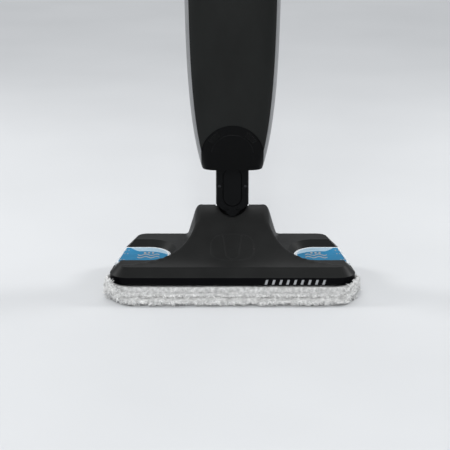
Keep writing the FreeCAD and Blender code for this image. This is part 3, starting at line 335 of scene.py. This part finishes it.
def pad_outline(spacing):
    """Even points round the pad's edge, with outward normals, anticlockwise from above."""
    low, high = -PAD_HALF_DEPTH, PAD_HALF_DEPTH
    corners = ((PAD_FRONT_HALF, low, PAD_CORNERS[0]), (PAD_REAR_HALF, high, PAD_CORNERS[1]),
               (-PAD_REAR_HALF, high, PAD_CORNERS[1]), (-PAD_FRONT_HALF, low, PAD_CORNERS[0]))
    arcs = []
    for i, (x, y, radius) in enumerate(corners):
        here = Vector((x, y))
        before = (here - Vector(corners[i - 1][:2])).normalized()
        after = (Vector(corners[(i + 1) % 4][:2]) - here).normalized()
        turn = before.angle(after)
        start = here - before * radius * math.tan(turn / 2)
        inward = Vector((-before.y, before.x))
        arcs.append((start, start + inward * radius, radius, math.atan2(-inward.y, -inward.x), turn))
    path = []
    for i, (start, centre, radius, angle, turn) in enumerate(arcs):
        steps = max(2, int(radius * turn / spacing))
        for k in range(steps + 1):
            a = angle + turn * k / steps
            normal = Vector((math.cos(a), math.sin(a)))
            path.append((centre + normal * radius, normal))
        following = arcs[(i + 1) % 4][0]
        last, normal = path[-1]
        run = following - last
        steps = max(2, int(run.length / spacing))
        path += [(last + run * (k / steps), normal) for k in range(1, steps)]
    return path


def profile_rows():
    rows = []
    for low, high in zip(PAD_PROFILE, PAD_PROFILE[1:]):
        rows += [tuple(mix(a, b, k / PROFILE_STEPS) for a, b in zip(low, high))
                 for k in range(PROFILE_STEPS)]
    return rows + [PAD_PROFILE[-1]]


CORNER_TURN, CORNER_TURN_SPAN = 0.30, 0.55     # sideways part of the normal where corners begin
CORNER_BACK, CORNER_FADE = -0.052, 0.040       # depth where the corners begin to fade out
CORNER_INSET, CORNER_INSET_TOP = 0.0065, 0.014     # the foot of each corner is drawn in, up to here


def corner_share(point, normal):
    """One beside the front corners, nought along the front and the back."""
    fade = smooth((point.y - CORNER_BACK) / CORNER_FADE)
    return smooth((abs(normal.x) - CORNER_TURN) / CORNER_TURN_SPAN) * (1.0 - fade)


def place_on(row, point, normal):
    """Where a profile row runs at this point of the outline: higher at the front corners."""
    side = corner_share(point, normal)
    inset, height = mix(row[0], row[2], side), mix(row[1], row[3], side)
    diagonal = (2.0 * normal.x * normal.y) ** 2
    inset += CORNER_INSET * diagonal * max(0.0, 1.0 - height / CORNER_INSET_TOP)
    return Vector((*(point - normal * inset), height))


def outward_at(rows, r, point, normal):
    behind = place_on(rows[max(r - 1, 0)], point, normal)
    ahead = place_on(rows[min(r + 1, len(rows) - 1)], point, normal)
    along = Vector((-normal.y, normal.x, 0.0))
    return along.cross(ahead - behind).normalized()


def pad_core(material):
    """The pad's body: flat underneath, with a lumpy pile edge and a smooth hem under the head."""
    ring = pad_outline(PAD_SPACING)
    rows = profile_rows()
    count = len(ring)
    vertices, faces = [], []
    for r, row in enumerate(rows):
        pile = row[4]
        for point, normal in ring:
            base = place_on(row, point, normal)
            lift = pile * (LUMP_SIZE * fluff(base, LUMP_SCALE) + KNOT_SIZE * fluff(base, KNOT_SCALE))
            lift += (1.0 - pile) * HEM_SIZE * fluff(base, HEM_SCALE)
            moved = base + outward_at(rows, r, point, normal) * lift
            moved.z = max(moved.z, PAD_FLOOR)
            vertices.append(moved)
    for r in range(len(rows) - 1):
        for i in range(count):
            j = (i + 1) % count
            faces.append((r * count + i, r * count + j, (r + 1) * count + j, (r + 1) * count + i))
    faces.append(tuple(range(count))[::-1])
    faces.append(tuple((len(rows) - 1) * count + i for i in range(count)))
    return mesh_object("mop_pad_body", vertices, faces, material)


PILE_LEAST = 0.20                          # rows of the profile with no more pile than this stay bare
FIBRE_SINK = 0.0010                        # how deep a fibre starts inside the body
CLUMP_SCALE = 120.0
CLUMP_SHIFTS = (Vector((3, 0, 0)), Vector((0, 5, 0)), Vector((0, 0, 7)))
HEADING_OUT, HEADING_CLUMP, HEADING_JITTER = 0.85, 1.5, 0.75
CURL_JITTER, CURL_CLUMP, CURL_BACK = 1.7, 0.9, 0.45
LEVEL_FRONT, LEVEL_RISE, DROOP = 0.10, 0.9, 0.30    # along the front the fibres lie flat and droop
SHORTEST = 0.30                            # share of the length that a fibre has on a bare row
FIBRE_TAPER = (1.0, 1.06, 1.02, 0.92, 0.68)
FIBRE_RINGS = len(FIBRE_TAPER)
FIBRE_BEND = 0.42


def random_vector(chance):
    return Vector([chance.uniform(-1, 1) for _ in range(3)])


def pad_pile(name, material, spacing, keep, length, width, seed):
    """Curled fibres standing out of the pad's edge, leaning together in clumps."""
    chance = random.Random(seed)
    ring = pad_outline(spacing)
    rows = [row for row in profile_rows() if row[4] > PILE_LEAST]
    vertices, faces = [], []
    for r, row in enumerate(rows):
        for point, normal in ring:
            if chance.random() > keep:
                continue
            side = Vector((-normal.y, normal.x, 0.0))
            shift = (chance.random() - 0.5) * spacing
            outward = outward_at(rows, r, point, normal)
            base = place_on(row, point, normal) + side * shift - outward * FIBRE_SINK
            base += outward * row[4] * (LUMP_SIZE * fluff(base, LUMP_SCALE))
            clump = Vector([fluff(base + away, CLUMP_SCALE) for away in CLUMP_SHIFTS])
            jitter = random_vector(chance)
            heading = outward * HEADING_OUT + clump * HEADING_CLUMP + jitter * HEADING_JITTER
            heading.normalize()
            curl = jitter.cross(outward) * CURL_JITTER + clump * CURL_CLUMP - outward * CURL_BACK
            level = LEVEL_FRONT + LEVEL_RISE * corner_share(point, normal)
            heading.z = min(heading.z, level) - DROOP * (1.0 - level)
            curl.z = min(curl.z, level)
            reach = mix(SHORTEST, 1.0, row[4]) * chance.uniform(*length)
            add_fibre(vertices, faces, base, heading, curl, reach, chance.uniform(*width))
    return mesh_object(name, vertices, faces, material)


def add_fibre(vertices, faces, base, heading, curl, length, width):
    """One tapering four-sided fibre that bends towards curl."""
    start = len(vertices)
    point, direction = base.copy(), heading.copy()
    across = direction.orthogonal().normalized()
    up = direction.cross(across).normalized()
    for taper in FIBRE_TAPER:
        radius = width * taper
        for a in range(4):
            angle = math.pi * a / 2
            corner = point + (across * math.cos(angle) + up * math.sin(angle)) * radius
            vertices.append((corner.x, corner.y, max(corner.z, FIBRE_FLOOR)))
        direction = (direction + curl * FIBRE_BEND).normalized()
        point = point + direction * (length / FIBRE_RINGS)
    vertices.append((point.x, point.y, max(point.z, FIBRE_FLOOR)))
    for k in range(FIBRE_RINGS - 1):
        for a in range(4):
            b = (a + 1) % 4
            low, high = start + 4 * k, start + 4 * (k + 1)
            faces.append((low + a, low + b, high + b, high + a))
    tip = start + 4 * FIBRE_RINGS
    last = tip - 4
    faces.extend((last + a, last + (a + 1) % 4, tip) for a in range(4))
    faces.append((start + 3, start + 2, start + 1, start))


def microfibre(name, low, high):
    """Off-white microfibre: uneven in colour, very dull, with a slight sheen."""
    s = Shader(name, Sheen_Weight=0.12, Sheen_Roughness=0.55, Specular_IOR_Level=0.1)
    s.colour(s.noise(230.0, detail=5.0, rough=0.6), low, high, start=0.32, end=0.68)
    s.roughness(s.noise(500.0), 0.82, 0.95)
    s.bump(s.cells(520.0), strength=0.6, distance=0.0005)
    return s.material


def add_pad():
    # the pad's body is painted darker than the tufts, so the gaps between the curls show painted
    # shade; the smooth hem has the same darker tone
    body_painted_shade_look = microfibre("microfibre_body_painted_shade", (0.36, 0.36, 0.355), (0.70, 0.70, 0.69))
    tuft_look = microfibre("microfibre_tufts", (0.56, 0.56, 0.555), (0.92, 0.92, 0.91))
    share = 1.0
    core = pad_core(body_painted_shade_look)
    tufts = pad_pile("mop_pad_tufts", tuft_look, spacing=0.0027, keep=0.50 * share,
                     length=(0.0045, 0.0068), width=(0.00060, 0.00095), seed=SEED)
    pile = pad_pile("mop_pad_pile", tuft_look, spacing=0.0017, keep=0.45 * share,
                    length=(0.0030, 0.0056), width=(0.00020, 0.00034), seed=SEED + 1)
    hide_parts("microfibre_pad")
    for piece in (core, tufts, pile):
        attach(piece, "head")


add_pad()


# ---- Marks and relief -------------------------------------------------------
MARK_SINK, MARK_PROUD = 0.00008, 0.00014   # the pedals' marks are thin plates
MARK_EDGE = 0.0004                         # how far they stay from the pedal's edge
# the crescent, a painted reflection: share of the pedal's span from its inner end, and metres from
# the rear edge
CRESCENT_NOTCH, CRESCENT_BOW, CRESCENT_END = (0.60, 0.0165), (0.70, 0.0120), 0.79
CRESCENT_TIP, CRESCENT_RISE = 0.0016, (0.20, 0.0150)    # metres from the inner end; from the tip
CRESCENT_TURN = 0.416                      # the middle of its round outer edge
SIGN_CENTRE = 0.40
DOT_PITCH, DOT_RISE, DOT_HALF = 0.0050, 0.0070, (0.0015, 0.0032)
WAVE_DROP, WAVE_PITCH, WAVE_HALF = 0.0060, 0.0050, 0.0135
WAVE_SWING, WAVE_WIDTH, WAVE_STEPS = 0.0028, 0.0029, 40
SMALL_DOTS = ((0.84, 0.80), (0.85, 0.56), (0.90, 0.16))     # shares of the span and the depth
SMALL_SHIFT, SMALL_HALF = 0.0018, (0.0008, 0.0015)


def bowed(start, middle, end, steps):
    """Points of the parabola through start and end that is drawn towards middle."""
    start, middle, end = Vector(start), Vector(middle), Vector(end)
    return [tuple(start * (1 - t) ** 2 + middle * (2 * t * (1 - t)) + end * t * t)
            for t in (i / steps for i in range(steps + 1))]


def crescent_outline(inner, span, middle, rear):
    """A crescent of painted reflection along the pedal's rear edge, anticlockwise from its tip at the
    inner end.
    """
    def behind(share, gap):
        return inner + share * span, rear - gap

    notch = behind(*CRESCENT_NOTCH)
    share, rise = CRESCENT_RISE
    outline = bowed((inner + CRESCENT_TIP, middle), (inner + share * span, middle + rise), notch, 10)
    outline += bowed(notch, behind(*CRESCENT_BOW), behind(CRESCENT_END, MARK_EDGE), 6)[1:]
    turn_x = inner + CRESCENT_TURN * span
    round_x, round_y = CRESCENT_TURN * span - MARK_EDGE, rear - middle - MARK_EDGE
    for i in range(15):
        a = math.radians(90 - 6 * i)
        outline.append((turn_x - round_x * math.cos(a), middle + round_y * math.sin(a)))
    return outline


def sign_outlines(inner, span, front, rear):
    """Three dots over a double wave, and three pairs of small dots beside them."""
    middle, centre = mix(front, rear, 0.5), inner + SIGN_CENTRE * span
    outlines = [oval(centre + DOT_PITCH * step, middle + DOT_RISE, *DOT_HALF) for step in (-1, 0, 1)]
    turns = [i / WAVE_STEPS - 1.0 for i in range(2 * WAVE_STEPS + 1)]
    for phase in (-1, 1):
        level = middle - WAVE_DROP + WAVE_PITCH * phase
        wave = [(centre + WAVE_HALF * t, level + WAVE_SWING * math.sin(2.0 * math.pi * t))
                for t in turns]
        outlines.append(ribbon(wave, WAVE_WIDTH))
    for along, back in SMALL_DOTS:
        for shift in (-SMALL_SHIFT, SMALL_SHIFT):
            outlines.append(oval(inner + along * span + shift, mix(front, rear, back), *SMALL_HALF))
    return outlines


def pedal_marks(side, body):
    """The pale crescent, a painted reflection, and the grey printed signs, drawn for the right pedal
    and mirrored for the left.
    """
    low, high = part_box(f"{body}_plate")
    inner = min(abs(low[0]), abs(high[0]))
    span = max(abs(low[0]), abs(high[0])) - inner
    crescent = crescent_outline(inner, span, mix(low[1], high[1], 0.5), high[1])
    signs = sign_outlines(inner, span, low[1], high[1])
    # the crescent is a painted reflection; the signs are print
    for part, outlines, look in (("crescent", [crescent], painted_reflection_look), ("signs", signs, marks_grey)):
        vertices, faces = [], []
        for outline in outlines:
            slab(vertices, faces, outline, high[2] - MARK_SINK, high[2] + MARK_PROUD)
        placed = [(side * x, y, z) for x, y, z in vertices]
        turned = faces if side > 0 else [face[::-1] for face in faces]
        made = mesh_object(f"{body}_{part}", placed, turned, look, smooth_faces=False)
        fitted(made, body)


TOP_SLACK, WELD = 0.00002, 1e-6            # what counts as the top face; as one point
EDGE_STEP, EDGE_LEAST = 0.0015, 0.0003     # between points of an edge
RIM_INSET, RIM_WIDTH, RIM_HEIGHT = 0.0004, 0.0022, 0.0004


def top_edge(node):
    """The closed edge of a plate's flat top, in order and evenly spaced."""
    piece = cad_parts[node]
    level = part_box(node)[1][2] - TOP_SLACK
    mesh = bmesh.new()
    mesh.from_mesh(piece.data)
    mesh.transform(piece.matrix_world)
    bmesh.ops.remove_doubles(mesh, verts=mesh.verts, dist=WELD)
    flat = {f for f in mesh.faces if all(v.co.z > level for v in f.verts)}
    follows = {}
    for face in flat:
        for loop in face.loops:
            if sum(f in flat for f in loop.edge.link_faces) == 1:
                follows[tuple(loop.vert.co)] = tuple(loop.link_loop_next.vert.co)
    mesh.free()
    first = point = min(follows)
    loop = [Vector(first)]
    while follows[point] != first:
        point = follows[point]
        loop.append(Vector(point))
    evened = []
    for here, there in zip(loop, loop[1:] + loop[:1]):
        steps = max(1, round((there - here).length / EDGE_STEP))
        evened += [here.lerp(there, k / steps) for k in range(steps)]
    return [p for p, q in zip(evened, evened[1:] + evened[:1]) if (q - p).length > EDGE_LEAST]


def pedal_rim(body):
    """A pale raised rim round the edge of the pedal's blue plate."""
    path = top_edge(f"{body}_plate")
    count = len(path)
    moved = []
    for i, point in enumerate(path):
        along = (path[(i + 1) % count] - path[i - 1]).normalized()
        moved.append(point + Vector((-along.y, along.x, 0.0)) * RIM_INSET)
    vertices, faces = [], []
    ridge(vertices, faces, moved, [UP] * count, RIM_WIDTH, RIM_HEIGHT, closed=True)
    fitted(mesh_object(f"{body}_rim", vertices, faces, rim_look), body)


BADGE_DASHES = 9
DASH_WIDE, DASH_LEAN = 0.34, 0.28          # shares of the pitch and of the height
DASH_THIN = 0.0002                         # taken off the badge's depth


def badge_dashes():
    """A row of slanted dashes on the front band; they stand in for any name."""
    low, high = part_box("front_badge")
    pitch = (high[0] - low[0]) / BADGE_DASHES
    wide = pitch * DASH_WIDE
    lean = (high[2] - low[2]) * DASH_LEAN
    vertices, faces = [], []
    for i in range(BADGE_DASHES):
        x = low[0] + pitch * (i + 0.5)
        outline = [(x - wide / 2 - lean / 2, low[2]), (x + wide / 2 - lean / 2, low[2]),
                   (x + wide / 2 + lean / 2, high[2]), (x - wide / 2 + lean / 2, high[2])]
        upright_slab(vertices, faces, outline, low[1] + DASH_THIN, high[1])
    made = mesh_object("front_badge_dashes", vertices, faces, badge_look, smooth_faces=False)
    piece = fitted(made, "head")
    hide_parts("front_badge")


ABOVE_HOOD = 0.3
SHIELD_HALF, SHIELD_Y, SHIELD_POWER = (0.0260, 0.0170), -0.0305, 0.7
TONGUE_START, TONGUE_END = (0.0112, -0.0150), (0.0078, -0.0375)     # half its width, and y
TONGUE_STEPS = 12


def squared(value):
    """Draws a sine or cosine towards the corners of a square."""
    return math.copysign(abs(value) ** SHIELD_POWER, value)


def hood_relief():
    """A faint round shield and a tapering tongue, raised on the front of the hood."""
    shield = []
    for a in (math.radians(4.0 * i) for i in range(91)):
        shield.append((SHIELD_HALF[0] * squared(math.cos(a)),
                       SHIELD_Y + SHIELD_HALF[1] * squared(math.sin(a)), ABOVE_HOOD))
    end_half, end_y = TONGUE_END
    right = [(mix(TONGUE_START[0], end_half, t), mix(TONGUE_START[1], end_y, t), ABOVE_HOOD)
             for t in (i / TONGUE_STEPS for i in range(TONGUE_STEPS))]
    tip = [(end_half * math.cos(a), end_y - end_half * math.sin(a), ABOVE_HOOD)
           for a in (math.radians(12 * i) for i in range(16))]
    tongue = right + tip + [(-x, y, z) for x, y, z in reversed(right)]
    ridges_on("hood_relief", "head_cover", [shield, tongue], DOWN, 0.0022, 0.00009,
              relief_look, "head")


ARCH_OUTER, ARCH_BAND, ARCH_DROP = 0.0360, 0.0105, 0.0375
RIB_DEGREES = (33.0, 37.0, 41.0, 45.0, 49.0, 53.0, 57.0)
RIB_START, RIB_END, RIB_STEPS = 0.0010, 0.0012, 6      # gaps at the ribs' ends


def collar_relief():
    """An inner arch on the collar and two ribbed panels between it and the edge."""
    inner, centre_z = ARCH_OUTER - ARCH_BAND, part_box("bottom_collar")[1][2] - ARCH_DROP
    arch = [(inner * math.cos(a), IN_FRONT, centre_z + inner * math.sin(a))
            for a in (math.radians(8 + 4 * i) for i in range(42))]
    radii = [mix(inner + RIB_START, ARCH_OUTER - RIB_END, i / RIB_STEPS)
             for i in range(RIB_STEPS + 1)]
    ribs = []
    for side in (-1, 1):
        for a in map(math.radians, RIB_DEGREES):
            ribs.append([(side * r * math.sin(a), IN_FRONT, centre_z + r * math.cos(a))
                         for r in radii])
    ridges_on("collar_arch", "bottom_collar", [arch], FORWARD, 0.0010, 0.00030,
              relief_dark, "steam_body")
    ridges_on("collar_ribs", "bottom_collar", ribs, FORWARD, 0.0016, 0.00035,
              relief_rib, "steam_body")


ROLL_AXIS_Z = 0.104
FLAP_RADIUS = 0.0218                       # just clear of the neck's round end, which swings above
FLAP_HALF, FLAP_FOOT = 0.0193, 0.0680
FLAP_FRONT, FLAP_BACK = 0.0329, 0.0343


def neck_flap():
    """A dark rubber flap on the knuckle that closes the gap under the neck's round end."""
    outline = [(-FLAP_HALF, FLAP_FOOT), (FLAP_HALF, FLAP_FOOT)]
    outline += [(x, ROLL_AXIS_Z - math.sqrt(FLAP_RADIUS ** 2 - x ** 2))
                for x in (FLAP_HALF * (1.0 - i / 16.0) for i in range(33))]
    vertices, faces = [], []
    upright_slab(vertices, faces, outline, FLAP_FRONT, FLAP_BACK)
    made = mesh_object("neck_flap", vertices, faces, flap_look, smooth_faces=False)
    fitted(made, "knuckle")


SEAM_INSET, SEAM_STEPS = 0.0006, 20


def neck_seam():
    """The dark parting line round the long cover on the neck's front."""
    low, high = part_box("neck_cover")
    half = (high[0] - low[0]) / 2 - SEAM_INSET
    bottom, top = low[2] + half + SEAM_INSET, high[2] - half - SEAM_INSET
    turns = [math.radians(7.5 * i) for i in range(25)]
    loop = [(half * math.cos(a), IN_FRONT, top + half * math.sin(a)) for a in turns]
    loop += [(-half, IN_FRONT, mix(top, bottom, i / SEAM_STEPS)) for i in range(1, SEAM_STEPS)]
    loop += [(-half * math.cos(a), IN_FRONT, bottom - half * math.sin(a)) for a in turns]
    loop += [(half, IN_FRONT, mix(bottom, top, i / SEAM_STEPS)) for i in range(1, SEAM_STEPS + 1)]
    ridges_on("neck_seam", "neck_cover", [loop], FORWARD, 0.0009, 0.00012,
              seam_look, "steam_body")


seam_look = moulded("neck_seam_shadow", (0.0003, 0.0003, 0.0004), Specular_IOR_Level=0.02)
flap_look = rubber("neck_flap_rubber", (0.004, 0.004, 0.004))
badge_look = metallic("badge_satin_metal", (0.42, 0.43, 0.44), rough=(0.28, 0.38))
# the crescent's pale blue is a painted reflection of light on the glossy blue plate
painted_reflection_look = moulded("pedal_painted_reflection", (0.36, 0.50, 0.60), rough=(0.25, 0.35), vary=0.05,
                     Specular_IOR_Level=0.15)
marks_grey = moulded("pedal_print_grey", (0.33, 0.31, 0.30), rough=(0.3, 0.4), vary=0.05,
                     Specular_IOR_Level=0.2)
relief_look = moulded("head_relief_moulded", (0.0172, 0.0176, 0.0175), Specular_IOR_Level=0.06)
relief_dark = moulded("collar_relief_moulded", (0.0026, 0.0028, 0.0031), Specular_IOR_Level=0.14)
relief_rib = moulded("collar_rib_moulded", (0.0026, 0.0028, 0.0027), rough=(0.3, 0.4),
                     Specular_IOR_Level=0.12)
rim_look = moulded("pedal_rim_white", (0.74, 0.77, 0.79), rough=(0.22, 0.32), vary=0.04)
pedal_marks(1, "right_pedal")
pedal_marks(-1, "left_pedal")
pedal_rim("right_pedal")
pedal_rim("left_pedal")
badge_dashes()
hood_relief()
collar_relief()
neck_flap()
neck_seam()


# ---- Finishes of the moulded and metal parts --------------------------------
undressed = set(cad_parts) - {"microfibre_pad"}        # the pad is replaced by add_pad


def dress(names, material):
    """Give a finish to the CAD nodes whose names are listed in one string."""
    for name in names.split():
        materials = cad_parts[name].data.materials
        materials.clear()
        materials.append(material)
        undressed.discard(name)


dress("head_cover pivot_bracket",
      moulded("head_black_moulded", (0.0156, 0.0160, 0.0158), Specular_IOR_Level=0.05))
dress("base_tray",
      moulded("band_black_satin", (0.0011, 0.0011, 0.0017), rough=(0.3, 0.4),
              Specular_IOR_Level=0.05))
dress("swivel_knuckle neck_front_shell neck_rear_shell neck_cover",
      moulded("neck_black_moulded", (0.0018, 0.0021, 0.0025), Specular_IOR_Level=0.09))
dress("bottom_collar pole_collar",
      moulded("collar_black_moulded", (0.0016, 0.0018, 0.0020), Specular_IOR_Level=0.08))
dress("front_shell rear_shell",
      moulded("body_grey_satin", (0.0116, 0.0124, 0.0120), rough=(0.34, 0.42),
              Specular_IOR_Level=0.08))
dress("lower_cord_hook upper_cord_hook hook_sleeve handle_left_shell handle_right_shell",
      moulded("handle_black_moulded", (0.012, 0.012, 0.013)))
dress("left_blade right_blade",
      moulded("trim_silver_satin", (0.22, 0.225, 0.23), rough=(0.34, 0.44), Metallic=0.35))
dress("left_pedal right_pedal",
      moulded("pedal_white_satin", (0.70, 0.74, 0.77), rough=(0.22, 0.32)))
dress("left_pedal_plate right_pedal_plate",
      polished("pedal_blue_gloss", (0.016, 0.180, 0.345), rough=(0.25, 0.35),
               Specular_IOR_Level=0.05))
dress("power_switch steam_trigger tank_latch pole_lock",
      moulded("control_blue_satin", (0.028, 0.185, 0.33), rough=(0.2, 0.3)))
dress("thermostat micro_switch pump_cap pump_body tank_coupling",
      moulded("inner_plastic_grey", (0.05, 0.05, 0.055)))
dress("tank_cap", moulded("cap_grey_moulded", (0.10, 0.105, 0.11)))
dress("knuckle_bushes", moulded("bush_acetal", (0.006, 0.006, 0.007), Specular_IOR_Level=0.1))
dress("control_board", moulded("board_mask", (0.01, 0.10, 0.04)))
dress("coupling_seal cord_gland grip_inlay", rubber("black_rubber_matt", (0.010, 0.010, 0.010)))
dress("steam_duct steam_pipe inlet_hose boiler_hose", rubber("silicone_hose", (0.45, 0.45, 0.43)))
dress("hook_strips", rubber("hook_tape", (0.03, 0.03, 0.03)))
dress("sole_plate boiler",
      metallic("cast_aluminium", (0.62, 0.62, 0.61), rough=(0.35, 0.5), along=(1, 1, 1)))
dress("screws", metallic("screw_black_oxide", (0.05, 0.05, 0.055), rough=(0.35, 0.5)))
dress("head_screws tilt_pin roll_pin pedal_pins pedal_springs latch_spring trigger_spring "
      "trigger_pin heating_element pump_plunger",
      metallic("zinc_steel", (0.55, 0.55, 0.56)))
dress("front_badge", metallic("badge_chrome", (0.6, 0.61, 0.62), rough=(0.12, 0.2)))
dress("pole",
      moulded("pole_powder_coat", (0.030, 0.031, 0.032), rough=(0.32, 0.42), grain=1400.0))
dress("ready_lamp", polished("lamp_lens", (0.05, 0.28, 0.48)))
dress("water_tank",
      polished("tank_smoked", (0.30, 0.42, 0.50), rough=(0.04, 0.09), Transmission_Weight=0.8,
               IOR=1.49))
assert not undressed, undressed


# ---- Studio -----------------------------------------------------------------
FLOOR_CORNERS = [(-12, -6, 0), (12, -6, 0), (12, 16, 0), (-12, 16, 0)]
WORLD_COLOUR, WORLD_STRENGTH = (0.86, 0.89, 0.93, 1.0), 0.46
#          name, place, target, size and power of each light
LIGHTS = (("key", (-0.4, -1.8, 1.7), (0.0, 0.0, 0.1), (0.8, 0.8), 13.0),
          ("right_fill", (1.5, -1.5, 1.1), (0.0, 0.0, 0.1), (1.2, 1.2), 1.6),
          ("left_fill", (-1.5, -1.5, 1.1), (0.0, 0.0, 0.1), (1.2, 1.2), 1.6),
          ("front_strip", (0.0, -2.1, 1.35), (0.0, 0.0, 0.35), (0.14, 1.6), 17.0),
          ("low_front", (0.0, -1.9, 0.60), (0.0, 0.0, 0.02), (1.6, 0.4), 2.6),
          ("left_corner", (-1.4, 0.5, 0.95), (0.0, 0.0, 0.05), (0.3, 0.4), 11.0),
          ("right_corner", (1.4, 0.5, 0.95), (0.0, 0.0, 0.05), (0.3, 0.4), 11.0),
          ("far_floor", (0.0, 3.6, 4.0), (0.0, 2.8, 0.0), (6.0, 4.0), 105.0))


def add_floor():
    s = Shader("studio_floor", Specular_IOR_Level=0.2)
    s.colour(s.noise(3.0), (0.60, 0.61, 0.62), (0.63, 0.64, 0.65))
    s.roughness(s.noise(12.0), 0.75, 0.85)
    floor = mesh_object("studio_floor", FLOOR_CORNERS, [(0, 1, 2, 3)], s.material,
                        smooth_faces=False)


def add_light(name, place, target, size, power):
    data = bpy.data.lights.new(name, "AREA")
    data.shape = "RECTANGLE"
    data.size, data.size_y = size
    data.energy = power
    light = bpy.data.objects.new(name, data)
    light.location = place
    light.rotation_euler = (Vector(target) - Vector(place)).to_track_quat("-Z", "Y").to_euler()
    bpy.context.collection.objects.link(light)


def add_studio():
    add_floor()
    world = bpy.data.worlds.new("studio")
    world.use_nodes = True
    background = world.node_tree.nodes["Background"]
    background.inputs["Color"].default_value = WORLD_COLOUR
    background.inputs["Strength"].default_value = WORLD_STRENGTH
    bpy.context.scene.world = world
    bpy.context.scene.view_settings.view_transform = "Standard"
    for light in LIGHTS:
        add_light(*light)


add_studio()
